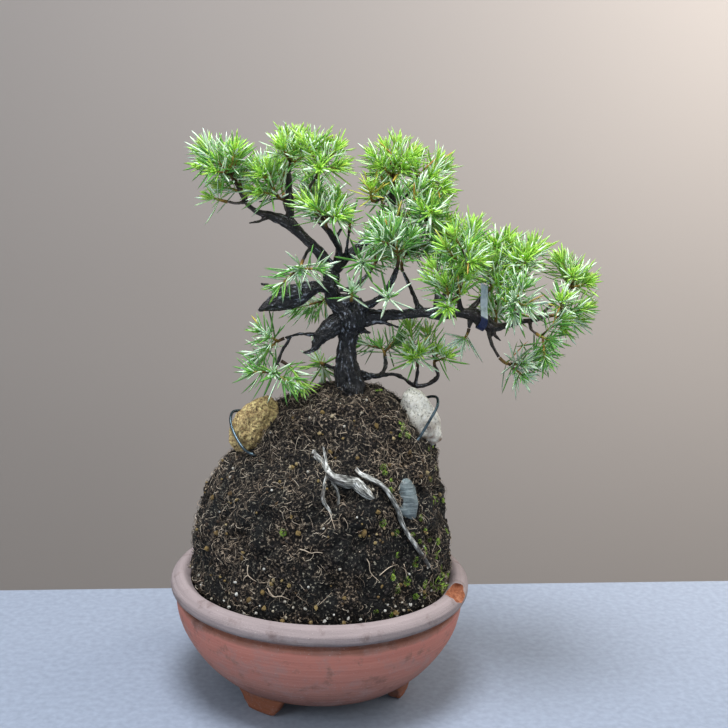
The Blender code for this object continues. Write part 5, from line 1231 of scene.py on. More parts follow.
def lay_rootlet(pile, skin, draw, spot, length, radius, tint):
    """Let one rootlet wander over the soil, now lying on it and now arching off it."""
    place, normal = spot
    way = perpendicular(normal, draw.uniform(0.0, math.tau))
    bend = draw.uniform(-0.35, 0.35)
    arch = draw.uniform(0.0, 2.4) * min(1.0, length / 6.0)
    steps = 4
    route = [place - normal * 0.3]
    for step in range(steps):
        turn = bend + draw.uniform(-0.35, 0.35)
        way = (way + normal.cross(way) * turn).normalized()
        place = place + way * length / steps
        nearest, normal, _, _ = skin.tree.find_nearest(place)
        lift = arch * math.sin(math.pi * (step + 1) / steps) + radius
        place = nearest + normal * lift
        way = (way - normal * way.dot(normal)).normalized()
        route.append(place)
    pile.tube(route, tapered(radius, 0.5, steps), sides=3, tint=tint)


def make_rootlets(soil):
    """Cover the soil with hair roots and lay the longer ones that show by themselves."""
    draw = random.Random(soil.seed)
    skin = SoilSkin()
    hair = hair_root(soil)
    for name, share in (("hair_roots_front", FRONT), ("hair_roots_back", BACK)):
        pile = Pile()
        spots = soil_spots(skin, draw, soil.rootlet_count // 2,
                           lambda place: rootlet_cover(place) if place.y * share > 0.0 else 0.0)
        for spot in spots:
            length = draw.uniform(*HAIR_LENGTHS) * (LONG_FACTOR if draw.random() < LONG_SHARE else 1.0)
            radius = soil.rootlet_radius / MM * draw.uniform(*HAIR_RADII)
            tint = draw.uniform(*(STRAW_TINTS if draw.random() < STRAW_SHARE else BROWN_TINTS))
            lay_rootlet(pile, skin, draw, spot, length, radius, tint)
        pile.piece(name, [hair], "soil_and_rootlets")
    pile = Pile()
    for side, points in STRAY_ROOTS:
        route = []
        for x, z, lift in points:
            place, normal = skin.seen_at(x, z, side)
            route.append(place + normal * lift)
        route = smoothed(route, 5)
        pile.tube(route, tapered(STRAY_RADIUS, 0.55, len(route) - 1), sides=8, tint=STRAY_TINT)
    pile.piece("stray_roots", [hair], "soil_and_rootlets")


def add_grain(pile, draw, shape, place, normal, size, tint, sink=0.25):
    """Bed one grain of grit in the soil."""
    turn = Matrix.Rotation(draw.uniform(0.0, math.tau), 3, normal)
    shift = Vector((draw.random(), draw.random(), draw.random())) * 40.0
    stretch = Vector((draw.uniform(0.75, 1.2), draw.uniform(0.75, 1.2), draw.uniform(0.6, 1.0)))
    centre = place + normal * size * (0.5 - sink)
    corners = []
    for direction in shape[0]:
        radius = size * 0.5 * (1.0 + 0.55 * noise.noise(direction * 1.6 + shift))
        corners.append(centre + turn @ (direction * stretch) * radius)
    pile.add(corners, shape[1], 0, tint)


def make_grit(soil):
    """Bed dark crumbs all over, ochre clay grains in patches and white grains near the bowl."""
    draw = random.Random(soil.seed + 1)
    skin = SoilSkin()
    pile = Pile()
    small, large = ball(1), ball(2)
    for count, cover, shape, sizes, tints in (
            (soil.crumb_count, lambda place: 1.0, small, (0.9, 2.1), (0.0, 0.42)),
            (soil.ochre_count, ochre_cover, large, (1.0, 2.4), (0.45, 0.8)),
            (soil.pale_count, pale_cover, large, (0.8, 1.8), (0.82, 1.0))):
        for place, normal in soil_spots(skin, draw, count, cover):
            add_grain(pile, draw, shape, place, normal, draw.uniform(*sizes), draw.uniform(*tints))
    for x, z, size, tint in FRONT_GRAINS:
        place, normal = skin.seen_at(x, z, FRONT)
        add_grain(pile, draw, large, place, normal, size, tint, sink=0.15)
    pile.piece("grit", [soil_grit()], "soil_and_rootlets", smooth=False)


def ochre_cover(place):
    """Tell where ochre grains gather: in patches, and more of them low on the mound."""
    patch = noise.noise(place / 9.0 + Vector((5.0, 0.0, 0.0)))
    return max(0.0, min(1.0, patch * 2.2 + (0.35 if place.z < 88.0 else -0.1)))


def pale_cover(place):
    """Tell where white grains lie: mostly close to the bowl's edge."""
    return 1.0 if place.z < 75.0 else 0.07


def add_blade(pile, place, way, length, width, tint):
    """Add one narrow leaf of moss or grass, three-sided and pointed."""
    side = perpendicular(way, 0.0) * width
    top = way.cross(side).normalized() * width
    corners = [place + side, place - side * 0.5 + top * 0.87, place - side * 0.5 - top * 0.87,
               place + way * length]
    pile.add(corners, [(0, 1, 3), (1, 2, 3), (2, 0, 3)], 0, tint, [0.0, 0.0, 0.0, 1.0])


def make_moss(soil):
    """Plant the moss: placed tufts at the front, and a thin scatter on the damp side."""
    draw = random.Random(soil.seed + 2)
    skin = SoilSkin()
    tufts = []
    for x, z, spread, tint in MOSS_TUFTS:
        tufts.append((*skin.seen_at(x, z, FRONT), spread, tint))
    for place, normal in soil_spots(skin, draw, soil.moss_count, moss_cover):
        tufts.append((place, normal, draw.uniform(*MOSS_SPREADS), draw.uniform(*MOSS_TINTS)))
    pile = Pile()
    for place, normal, spread, tint in tufts:
        for _ in range(int(14 + 34 * spread)):
            out = perpendicular(normal, draw.uniform(0.0, math.tau))
            foot = place + out * spread * math.sqrt(draw.random()) - normal * 0.2
            way = (normal + out * draw.uniform(0.1, 1.1)).normalized()
            add_blade(pile, foot, way, draw.uniform(*MOSS_BLADES), MOSS_WIDTH,
                      min(1.0, max(0.0, tint + draw.uniform(-0.18, 0.18))))
    for x, z, way, length in GRASS_BLADES:
        place, _ = skin.seen_at(x, z, FRONT)
        add_blade(pile, place, Vector(way).normalized(), length, GRASS_WIDTH, GRASS_TINT)
    pile.piece("moss", [young_moss(soil)], "soil_and_rootlets")


def moss_cover(place):
    """Tell where moss grows: on the right-hand side and a little at the back."""
    patch = noise.noise(place / 12.0 + Vector((0.0, 9.0, 0.0)))
    side = 0.55 if place.x > 26.0 else 0.0
    back = 0.25 if place.y > 30.0 else 0.0
    return max(0.0, min(1.0, (patch + 0.15) * 1.6)) * max(side, back)


# Rock, stones and wires

def make_rock(stones):
    """Make the rock, of which only one face stands out of the soil."""
    pile = Pile()
    weathered(pile, ball(5), ROCK_CORE, "Z", chips=0.6, chip_size=9.0)
    weathered(pile, ball(6), ROCK_FACE, "Z", chips=0.35, chip_size=5.0)
    pile.piece("slate_rock", [slate(stones)], "grey_rock", ["rock"])


def make_stones(stones):
    """Make the two stones that lean on the mound's shoulders."""
    left = Pile()
    weathered(left, ball(6), LEFT_STONE, "Y", chips=0.7, chip_size=3.4)
    left.piece("sandstone_pebble", [sandstone(stones)], "tan_stone", ["stone_left"])
    right = Pile()
    weathered(right, ball(6), RIGHT_STONE, "Y", chips=0.35, chip_size=4.5)
    right.piece("granite_pebble", [granite(stones)], "pale_stone", ["stone_right"])


def make_wires(stones):
    """Draw the two wires over their stones and into the soil."""
    wire = aluminium_wire(stones)
    for side, points in (("left", LEFT_WIRE), ("right", RIGHT_WIRE)):
        skin = solid_tree("stone_" + side)
        route = []
        for point in smoothed(points, 2):
            place, normal, _, _ = skin.find_nearest(point)
            if (point - place).dot(normal) < WIRE_CLEARANCE:
                point = place + normal * WIRE_CLEARANCE
            route.append(point)
        route = smoothed(route, 5)
        pile = Pile()
        pile.tube(route, [WIRE_RADIUS] * len(route), sides=12)
        pile.piece(side + "_training_wire", [wire], "dark_wire", ["wire_" + side])


# Tree

def fine_line(points, radii, steps):
    """Read finer places and radii along a limb's or a root's given points."""
    widths = smoothed([(radius, 0.0) for radius in radii], steps)
    return smoothed(points, steps), [width.x for width in widths]


def lay_grain(mesh, lines):
    """Find how far across and along its own limb each corner lies, and keep it for the bark."""
    middles, sides, tops, gone, widths = [], [], [], [], []
    for number, (places, radii) in enumerate(lines):
        run = 53.0 * number
        for i, (side, top) in enumerate(carried_frames(places)):
            run += (places[i] - places[i - 1]).length if i else 0.0
            middles.append(places[i])
            sides.append(side)
            tops.append(top)
            gone.append(run)
        widths += radii
    middles, sides, tops = np.array(middles), np.array(sides), np.array(tops)
    gone, ways = np.array(gone), np.cross(sides, tops)
    corners = rows_of(mesh.vertices, "co") / MM
    grain = np.empty_like(corners)
    for start in range(0, len(corners), 4000):
        part = corners[start:start + 4000]
        squares = np.sum(part ** 2, axis=1)[:, None] + np.sum(middles ** 2, axis=1)
        reach = np.sqrt(np.maximum(squares - 2.0 * part @ middles.T, 0.0)) - widths
        near = np.argmin(reach, axis=1)
        away = part - middles[near]
        grain[start:start + 4000] = np.stack((
            np.sum(away * sides[near], axis=1), np.sum(away * tops[near], axis=1),
            np.sum(away * ways[near], axis=1) + gone[near]), axis=1)
    write_marks(mesh, "across", grain[:, :2] * MM)
    write_marks(mesh, "along", grain[:, [2, 2]] * MM)
    return grain


def limb_pile(bark, lines):
    """Sweep every limb finely, with ridges and hollows that run along it."""
    pile = Pile()
    for number, (places, widths) in enumerate(lines):

        def ridged(radius, angle, ring):
            spot = Vector((math.cos(angle) * 1.9, math.sin(angle) * 1.9, ring / 9.0 + number))
            ridge = noise.noise(spot) + 0.6 * noise.noise(spot * 2.3)
            return radius * (1.0 + bark.ridge_share * ridge)

        pile.tube(places, widths, sides=20, relief=ridged)
    return pile


def make_limbs(bark):
    """Fuse the swept limbs into one skin, as they grew, and split it by long cracks."""
    lines = [fine_line([p[:3] for p in points], [p[3] for p in points], 5)
             for points in LIMBS.values()]
    trunk = limb_pile(bark, lines).piece("bark_skin", [conifer_bark(bark)], "bark", ["tree"])
    fuse = trunk.modifiers.new("fused", "REMESH")
    fuse.mode = "VOXEL"
    fuse.voxel_size = bark.skin_detail
    fuse.use_smooth_shade = True
    fused = modified_mesh(trunk)
    places = rows_of(fused.vertices, "co")
    normals = rows_of(fused.vertex_normals, "vector")
    cracks = np.array([
        abs(noise.noise(Vector((x / 1.5, y / 1.5, z / 8.0))))
        + 0.5 * abs(noise.noise(Vector((x / 0.8, y / 0.8, z / 3.0))))
        + 0.5 * noise.noise(Vector((x, y, z)) / 3.2)
        for x, y, z in lay_grain(fused, lines)])
    reach = np.linalg.norm(places / MM - TRUNK_HEART, axis=1)
    depth = np.interp(reach, CRACK_REACH, CRACK_DEPTH)
    places += normals * ((cracks - CRACK_LEVEL) * depth * MM)[:, None]
    fused.vertices.foreach_set("co", places.ravel())
    trunk.data = fused
    fused.shade_smooth()


def make_surface_roots(bark):
    """Lay the bare roots on the mound, where their solids lie."""
    skin = SoilSkin()
    pile = Pile()
    lines = []
    for number, (side, points) in enumerate(ROOTS.values()):
        route = []
        for x, z, depth, _ in points:
            place, normal = skin.seen_at(x, z, side)
            route.append(place - normal * (depth - 0.3))
        lines.append(fine_line(route, [p[3] for p in points], 7))

        def creased(radius, angle, ring):
            spot = Vector((math.cos(angle) * 1.6, math.sin(angle) * 1.6, ring / 9.0 + number * 3.0))
            return radius * (1.0 + 0.3 * noise.noise(spot) + 0.14 * noise.noise(spot * 2.7))

        pile.tube(*lines[-1], sides=18, relief=creased)
    roots = pile.piece("bare_roots", [root_bark(bark)], "bark", ["tree"])
    lay_grain(roots.data, lines)


# Needles

def segment_gaps(start, end, starts, ends):
    """Measure the shortest distance from one straight stretch to each of many."""
    one = end - start
    many = ends - starts
    offset = start - starts
    one_square = one @ one
    product = many @ one
    many_square = np.maximum(np.sum(many * many, axis=1), 1e-9)
    along_one = offset @ one
    along_many = np.sum(offset * many, axis=1)
    skew = np.maximum(one_square * many_square - product * product, 1e-12)
    near = np.clip((product * along_many - many_square * along_one) / skew, 0.0, 1.0)
    far = np.clip((product * near + along_many) / many_square, 0.0, 1.0)
    near = np.clip((product * far - along_one) / one_square, 0.0, 1.0)
    return np.linalg.norm(offset + near[:, None] * one - far[:, None] * many, axis=1)


class Crown:
    """What stands in the crown, so that each side shoot sets out where there is room."""

    def __init__(self):
        self.skins = [solid_tree(name) for name in (
            "soil_mound", "stone_left", "stone_right", "wire_left", "wire_right", "label")]
        self.starts = []
        self.ends = []
        self.radii = []
        self.owners = []

    def add(self, start, end, radius, owner):
        """Remember one straight stretch of a limb or shoot."""
        self.starts.append(tuple(start))
        self.ends.append(tuple(end))
        self.radii.append(radius)
        self.owners.append(owner)

    def blocked(self, start, end, clearance, own):
        """Tell whether a stretch comes too near one of another owner or runs into a solid."""
        span = end - start
        for skin in self.skins:
            if skin.ray_cast(start, span.normalized(), span.length)[0] is not None:
                return True
            for step in range(1, 7):
                if skin.find_nearest(start + span * step / 6, clearance)[0] is not None:
                    return True
        others = np.array([not owner.startswith(own) for owner in self.owners])
        gaps = segment_gaps(np.array(start), np.array(end), np.array(self.starts), np.array(self.ends))
        return bool(np.any(others & (gaps < np.array(self.radii) + clearance)))


def limb_seat(limb, index, tip):
    """Find where a shoot leaves a limb and the way it sets out."""
    route = LIMBS[limb]
    place = Vector(route[index][:3])
    before = Vector(route[index - 1][:3])
    along = (place - before).normalized()
    if index == END:
        return place + along * STEM_GAP, along
    away = tip - place
    away = (away - along * away.dot(along)).normalized()
    return place + away * (route[index][3] + STEM_GAP), away


def bowed(start, heading, tip, count):
    """Give points of a shoot that sets out along a heading and bends to its tip."""
    middle = start + heading * (tip - start).length * 0.4
    points = []
    for i in range(count):
        t = i / (count - 1)
        points.append(start * (1.0 - t) ** 2 + middle * 2.0 * t * (1.0 - t) + tip * t ** 2)
    return points


def side_shoots(draw, crown, name, leader, count, turn, keep):
    """Choose side shoots round a leading shoot, by the rule that its solid follows."""
    shoots = []
    for number in range(count):
        place = 1 + number % 2
        origin = leader[place].lerp(leader[place + 1], draw.uniform(*SHOOT_SHARES))
        axis = (leader[place + 1] - leader[place]).normalized()
        for attempt in range(SHOOT_TRIES):
            turn += math.radians(SHOOT_TURN) if attempt else GOLDEN_TURN
            heading = perpendicular(axis, turn) * SHOOT_OUTWARD + axis * SHOOT_FORWARD
            heading.z += SHOOT_UPWARD
            heading.normalize()
            end = origin + heading * draw.uniform(*SHOOT_LENGTHS) * keep
            if not crown.blocked(origin, end, SHOOT_CLEARANCE * keep, name + "/"):
                shoots.append([origin, end])
                break
    return shoots, turn


def plan_crown(leaves):
    """Plan the leading shoot and the side shoots of every spray, then the extra thin ones."""
    draw = random.Random(CROWN_SEED)
    crown = Crown()
    for route in LIMBS.values():
        for a, b in zip(route, route[1:]):
            crown.add(a[:3], b[:3], max(a[3], b[3]), "tree")
    plans = []
    for name, limb, index, tip, sides, _, _ in SPRAYS:
        start, heading = limb_seat(limb, index, Vector(tip))
        leader = bowed(start, heading, Vector(tip), 4)
        turn = draw.uniform(0.0, math.tau)
        shoots, turn = side_shoots(draw, crown, name, leader, sides, turn, 1.0)
        shoots.insert(0, leader)
        for number, shoot in enumerate(shoots):
            for a, b in zip(shoot, shoot[1:]):
                crown.add(a, b, LEADER_RADIUS, f"{name}/{number}")
        plans.append((name, shoots, sides, turn))
    draw = random.Random(leaves.seed + 5)
    for name, shoots, sides, turn in plans:
        extra = min(sides, 1) if shoots[0][-1].z < LOW_CROWN else leaves.extra_shoots
        if not sides or name in OPEN_SPRAYS:
            extra = 0
        more, _ = side_shoots(draw, crown, name, shoots[0], extra, turn + 0.9, EXTRA_SHARE)
        shoots.extend(more)
    return plans


def room_left(box):
    """Give a test of whether a needle's tip may be at a point: it stays inside the solids' box,
    less a small margin, and off the label's face."""
    low = [(box[0][i] - POT_AXIS[i]) / MM + BOX_MARGIN for i in range(3)]
    high = [(box[1][i] - POT_AXIS[i]) / MM - BOX_MARGIN for i in range(3)]

    def free(point):
        inside = all(low[i] <= point[i] <= high[i] for i in range(3))
        ahead = all(LABEL_VIEW[0][i] < point[i] < LABEL_VIEW[1][i] for i in range(3))
        return inside and not ahead

    return free


def add_needle(pile, base, way, up, length, width, tint, droop):
    """Add one needle: a flat pale inner side and a green keel, a slight bow and a sharp tip."""
    up = (up - way * up.dot(way)).normalized()
    side = way.cross(up)
    corners = []
    along = []
    for share, wide in NEEDLE_WIDTHS:
        centre = base + way * length * share + up * droop * length * share * share
        corners.append(centre + side * width * wide)
        corners.append(centre - side * width * wide)
        corners.append(centre - up * width * wide * 0.9)
        along.extend([share] * 3)
    corners.append(base + way * length + up * droop * length)
    along.append(1.0)
    band = [(0, 1, 4, 3), (3, 4, 7, 6), (6, 7, 9)]
    keel = [(1, 2, 5, 4), (4, 5, 8, 7), (7, 8, 9), (2, 0, 3, 5), (5, 3, 6, 8), (8, 6, 9)]
    pile.add(corners, band, BAND_FINISH, tint, along)
    first = len(pile.corners) - len(corners)
    pile.faces.extend(tuple(first + i for i in face) for face in keel)
    pile.finishes.extend([KEEL_FINISH] * len(keel))


def point_along(shoot, distance):
    """Walk along a shoot and give the place and the direction there."""
    for a, b in zip(shoot, shoot[1:]):
        length = (b - a).length
        if distance <= length:
            return a.lerp(b, distance / length), (b - a).normalized()
        distance -= length
    return shoot[-1], (shoot[-1] - shoot[-2]).normalized()


def needle_tint(draw, share, mood):
    """Choose a needle's tint: older and bluer low on the shoot, younger and yellower above."""
    if draw.random() < DEAD_SHARE:
        return draw.uniform(*DEAD_TINTS)
    tint = mood + TINT_RISE * share + draw.gauss(0.0, TINT_SPREAD)
    return min(max(LAST_TINT, mood), max(0.0, tint))


def fitted(base, way, length, fits):
    """Shorten a needle until its tip is where it may be."""
    while length > SHORTEST_NEEDLE and not fits(base + way * length * 1.02):
        length *= 0.8
    return length


def dress_shoot(pile, draw, shoot, bare, mood, wax, leaves, fits):
    """Clothe one shoot: bark, a spiral of needles and a bright tuft of young ones at its tip."""
    total = sum((b - a).length for a, b in zip(shoot, shoot[1:]))
    leading = len(shoot) > 2
    fine = smoothed(shoot, 4) if leading else [shoot[0].lerp(shoot[1], i / 3) for i in range(4)]
    stem = LEADER_RADIUS if leading else SIDE_RADIUS
    pile.tube(fine, tapered(stem, 0.4, len(fine) - 1), 7, SHOOT_FINISH, draw.random())
    longest, shortest = leaves.needle_length / MM, leaves.tip_length / MM
    width = leaves.needle_width / MM / 2.0
    count = max(8, round((total - bare) / (leaves.needle_spacing / MM)))
    spin = draw.uniform(0.0, math.tau)
    for number in range(count):
        share = number / (count - 1)
        base, axis = point_along(shoot, bare + (total - bare) * share)
        length = between(longest, shortest, share) * draw.uniform(*LENGTH_SHARES)
        lean = math.radians(between(*NEEDLE_LEANS, share) + draw.uniform(-LEAN_SPREAD, LEAN_SPREAD))
        out = perpendicular(axis, spin + GOLDEN_TURN * number + draw.uniform(-0.25, 0.25))
        way = axis * math.cos(lean) + out * math.sin(lean)
        droop = draw.uniform(*NEEDLE_BOWS)
        length = fitted(base, way + axis * droop, length, fits)
        twist = -1.0 if draw.random() < wax else 1.0
        add_needle(pile, base, way, axis * twist, length, width * draw.uniform(*WIDTH_SHARES),
                   needle_tint(draw, share, mood), droop * twist)
    base, axis = point_along(shoot, total)
    for number in range(leaves.tuft_needles):
        length = draw.uniform(*TUFT_LENGTHS) * longest
        lean = math.radians(draw.uniform(*TUFT_LEANS))
        out = perpendicular(axis, GOLDEN_TURN * number)
        way = axis * math.cos(lean) + out * math.sin(lean)
        length = fitted(base, way, length, fits)
        tint = draw.uniform(*TUFT_TINTS) - (0.0 if mood > OLD_AGE else OLD_TUFT_DROP)
        add_needle(pile, base - axis * TUFT_DEPTH, way, axis, length, width * TUFT_WIDTH, tint, TUFT_BOW)


def make_needles(leaves):
    """Clothe every spray."""
    materials = [needle_keel(leaves), needle_band(leaves), shoot_bark(leaves)]
    fits = room_left(CAD_BOX)
    for index, (name, shoots, _, _) in enumerate(plan_crown(leaves)):
        draw = random.Random(leaves.seed * 100 + index)
        age, wax = SPRAYS[index][-2:]
        mixed = draw.uniform(*MIXED_AGES)
        mood = mixed if age is MIXED else age
        pile = Pile()
        for number, shoot in enumerate(shoots):
            bare = BARE_SIDE if number else BARE_LEADER
            dress_shoot(pile, draw, shoot, bare, mood, wax, leaves, fits)
        pile.piece("needles_" + name, materials, "needles", ["spray_" + name])


# Drain net and label

def finish_drain_net():
    """Give the drain net, whose solid is right as it is, its own finish."""
    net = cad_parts["drain_net"]
    mesh_finish = polythene_mesh()
    for place in net.material_slots:
        place.material = mesh_finish


def label_path():
    """Give the film's middle line, seen from its edge: down one leaf, round the limb and up."""
    opening = math.asin(LABEL_HALF_GAP / LABEL_LOOP)
    heights = [LABEL_HEIGHT - LABEL_HEIGHT * 0.65 * i / 8 for i in range(8)]
    path = [(LABEL_HALF_GAP, height) for height in heights]
    for step in range(33):
        angle = opening + (math.tau - 2.0 * opening) * step / 32
        path.append((LABEL_LOOP * math.sin(angle), LABEL_LOOP * math.cos(angle)))
    return path + [(-LABEL_HALF_GAP, height) for height in reversed(heights)]


def make_label(label):
    """Bend the plant label's film round the right limb, its two leaves standing together."""
    path = label_path()
    turn = Matrix.Rotation(math.radians(LABEL_TURN), 3, "Y")
    count, wide = len(path), len(LABEL_COLUMNS)
    corners = []
    marks = []
    for skin in (-LABEL_FILM, LABEL_FILM):
        for index, (y, z) in enumerate(path):
            before, after = path[max(index - 1, 0)], path[min(index + 1, count - 1)]
            normal = Vector((0.0, before[1] - after[1], after[0] - before[0])).normalized()
            lean = LABEL_LEAN * max(0.0, z / LABEL_HEIGHT)
            for side in LABEL_COLUMNS:
                thin = 0.6 if abs(side) == LABEL_COLUMNS[-1] else 1.0
                place = Vector((side - lean, y, z)) + normal * skin * thin
                corners.append(Vector(LABEL_PLACE) + turn @ place)
                height = min(1.0, max(0.0, (z - LABEL_LOW) / LABEL_REACH))
                marks.append((height, 0.5))
    faces = []
    for skin in (0, 1):
        for index in range(count - 1):
            for column in range(wide - 1):
                a = (skin * count + index) * wide + column
                face = (a, a + 1, a + wide + 1, a + wide)
                faces.append(face if skin else face[::-1])
    for index in range(count - 1):
        a, b = index * wide, (count + index) * wide
        faces.append((b, b + wide, a + wide, a))
        a, b = a + wide - 1, b + wide - 1
        faces.append((a, a + wide, b + wide, b))
    pile = Pile()
    pile.add(corners, faces)
    pile.marks = marks
    pile.piece("film_label", [label_film(label)], "label", ["label"])


# Stage

def stage_block(name, low, high, material):
    """Add one block of the stage and give it back."""
    bm = bmesh.new()
    bmesh.ops.create_cube(bm, size=1.0)
    for vert in bm.verts:
        vert.co = [low[i] + (high[i] - low[i]) * (vert.co[i] + 0.5) for i in range(3)]
    bmesh.ops.bevel(bm, geom=bm.edges[:], offset=0.003, segments=3, affect="EDGES", profile=0.5)
    mesh = bpy.data.meshes.new(name)
    bm.to_mesh(mesh)
    bm.free()
    mesh.materials.append(material)
    obj = new_object(name, mesh)
    return obj


def soft_light(name, place, size, power, colour, target):
    """Hang one soft round light that faces its target."""
    lamp = bpy.data.lights.new(name, "AREA")
    lamp.shape = "DISK"
    lamp.size = size
    lamp.energy = power
    lamp.color = linear(colour)
    obj = new_object(name, lamp)
    obj.location = place
    obj.rotation_euler = (Vector(target) - Vector(place)).to_track_quat("-Z", "Y").to_euler()


def place_camera(stage):
    """Stand the camera where the photograph was taken."""
    ahead = Vector((0.0, math.cos(stage.pitch), -math.sin(stage.pitch)))
    level = Vector((1.0, 0.0, 0.0))
    upright = Vector((0.0, math.sin(stage.pitch), math.cos(stage.pitch)))
    right = level * math.cos(stage.roll) + upright * math.sin(stage.roll)
    up = upright * math.cos(stage.roll) - level * math.sin(stage.roll)
    lens = bpy.data.cameras.new("photo_camera")
    lens.lens = stage.lens
    lens.sensor_width = 36.0
    lens.clip_start = 0.02
    lens.clip_end = 30.0
    camera = new_object("photo_camera", lens)
    place = Matrix((right, up, -ahead)).transposed().to_4x4()
    place.translation = POT_AXIS + Vector(CAMERA_PLACE)
    camera.matrix_world = place
    bpy.context.scene.camera = camera


def make_stage(stage):
    """Set the pale table, the wall behind it, the soft lights and the camera."""
    table = stage_paint("painted_table_board", stage.table_colour, size=4.0, spread=0.1)
    wall = stage_paint("matt_wall_emulsion", stage.wall_colour, size=900.0, spread=0.03)
    board = stage_block("table", *TABLE_BLOCK, table)
    board.rotation_euler.z = stage.table_turn
    board.location = (0.0, stage.table_back, 0.0)
    stage_block("ground", *GROUND_BLOCK, wall)
    stage_block("wall", *WALL_BLOCK, wall)
    world = bpy.data.worlds.new("soft_room")
    world.use_nodes = True
    feed(world.node_tree, world.node_tree.nodes["Background"], {
        "Color": stage.room_colour, "Strength": stage.room_light})
    bpy.context.scene.world = world
    for name, place, size, power, tone, target in LIGHTS:
        soft_light(name, place, size, stage.main_light * power, tone, target)
    bpy.context.scene.view_settings.view_transform = "Standard"
    place_camera(stage)


# Sizes and colours that a user would change

def length(name, description, default, low, high):
    """Give a length setting, kept in metres and shown in the scene's unit."""
    return bpy.props.FloatProperty(
        name=name, description=description, default=default * MM, min=low * MM, max=high * MM,
        unit="LENGTH", precision=5)


def colour(name, description, default):
    """Give a colour setting."""
    return bpy.props.FloatVectorProperty(
        name=name, description=description, default=linear(default), min=0.0, max=1.0,
        subtype="COLOR", size=3)


def amount(name, description, default, low, high):
    """Give a whole-number setting."""
    return bpy.props.IntProperty(name=name, description=description, default=default, min=low, max=high)


def share(name, description, default, low, high):
    """Give a plain number setting."""
    return bpy.props.FloatProperty(name=name, description=description, default=default, min=low, max=high)


def turn(name, description, default):
    """Give an angle setting, kept in radians and shown in degrees."""
    return bpy.props.FloatProperty(
        name=name, description=description, default=math.radians(default), unit="ROTATION",
        subtype="ANGLE")


class BonsaiBowl(bpy.types.PropertyGroup):
    """The clay bowl."""
    turning_steps: amount("Turning steps", "Flat steps round the turned bowl", 168, 24, 400)
    body_colour: colour("Body", "Unglazed clay of the bowl's body", "#c28574")
    collar_colour: colour("Collar", "Weathered clay of the wide collar", "#ab9c9a")
    # The groove's colour is painted shade: clay darkened for the shade that falls in the recess under the
    # collar
    groove_shade_colour: colour("Groove", "Stained clay in the groove under the collar", "#92604f")
    foot_colour: colour("Feet", "Clay of the feet", "#a35f3e")


class BonsaiSoil(bpy.types.PropertyGroup):
    """The soil, the rootlets on it, and what grows and lies there."""
    seed: amount("Seed", "Picks another scatter of rootlets, grit and moss", 4, 0, 999)
    round_steps: amount("Round steps", "Steps round the soil's skin", 430, 60, 460)
    crumb_size: length("Crumb size", "Width of the larger soil crumbs", 4.2, 1.0, 12.0)
    crumb_height: length("Crumb height", "Height of the soil's crumbs", 0.75, 0.0, 3.0)
    wet_colour: colour("Wet soil", "Soil on the damp side", "#161614")
    dry_colour: colour("Dry soil", "Soil that has dried on top", "#2a221c")
    rootlet_count: amount("Rootlets", "Hair roots on the soil", 6800, 0, 12000)
    rootlet_radius: length("Rootlet radius", "Mean radius of a hair root", 0.13, 0.05, 0.6)
    rootlet_colour: colour("Rootlets", "Hair roots of middle age", "#857664")
    crumb_count: amount("Crumbs", "Loose dark crumbs", 1500, 0, 6000)
    ochre_count: amount("Baked clay", "Loose ochre grains", 190, 0, 2000)
    pale_count: amount("Pumice", "Loose white grains", 110, 0, 2000)
    moss_count: amount("Moss tufts", "Scattered tufts of moss", 110, 0, 600)
    moss_colour: colour("Moss", "Moss and grass", "#86ad3f")


class BonsaiStones(bpy.types.PropertyGroup):
    """The rock, the two stones and their wires."""
    rock_colour: colour("Rock", "Slate of the buried rock", "#5f6b6c")
    sandstone_colour: colour("Left stone", "Golden sandstone", "#bda26f")
    granite_colour: colour("Right stone", "Pale granite", "#eeeadb")
    wire_colour: colour("Wire", "Anodised skin of the wire", "#46545b")


class BonsaiBark(bpy.types.PropertyGroup):
    """The trunk, the limbs and the bare roots."""
    ridge_share: share("Ridges", "Height of the bark's ridges, as a share of a limb's radius",
                       0.14, 0.0, 0.4)
    skin_detail: length("Detail", "Size of the fused skin's faces", 0.55, 0.4, 3.0)
    old_colour: colour("Old bark", "Bark of the trunk", "#141417")
    young_colour: colour("Young bark", "Bark of the thin ends", "#3d3028")
    root_colour: colour("Roots", "Bark of the bare roots", "#85867f")


class BonsaiLeaves(bpy.types.PropertyGroup):
    """The needles and the shoots that carry them."""
    seed: amount("Seed", "Picks another scatter of needles", 7, 0, 999)
    needle_length: length("Longest needle", "Needle at the foot of a shoot", 17.5, 4.0, 20.0)
    tip_length: length("Shortest needle", "Needle at the tip of a shoot", 12.5, 2.0, 20.0)
    needle_width: length("Needle width", "Width of one needle", 1.25, 0.3, 2.5)
    needle_spacing: length("Spacing", "Shoot length that carries one needle", 0.56, 0.3, 4.0)
    tuft_needles: amount("Tip tuft", "Young needles at each shoot's tip", 18, 0, 40)
    extra_shoots: amount("Extra shoots", "Thin shoots beside those of the solids", 4, 0, 6)
    keel_colour: colour("Needle", "Outer side of a needle", "#64a347")
    band_colour: colour("Wax band", "Inner side of a needle", "#dcf4d2")
    young_colour: colour("Young needle", "Needles at a shoot's tip", "#addf5a")
    shoot_colour: colour("Shoot", "Bark of the young shoots", "#b08a3a")


class BonsaiLabel(bpy.types.PropertyGroup):
    """The plant label on the right limb."""
    film_colour: colour("Film", "The label's two leaves", "#dbe4ea")
    loop_colour: colour("Loop", "The part that goes round the limb", "#162551")


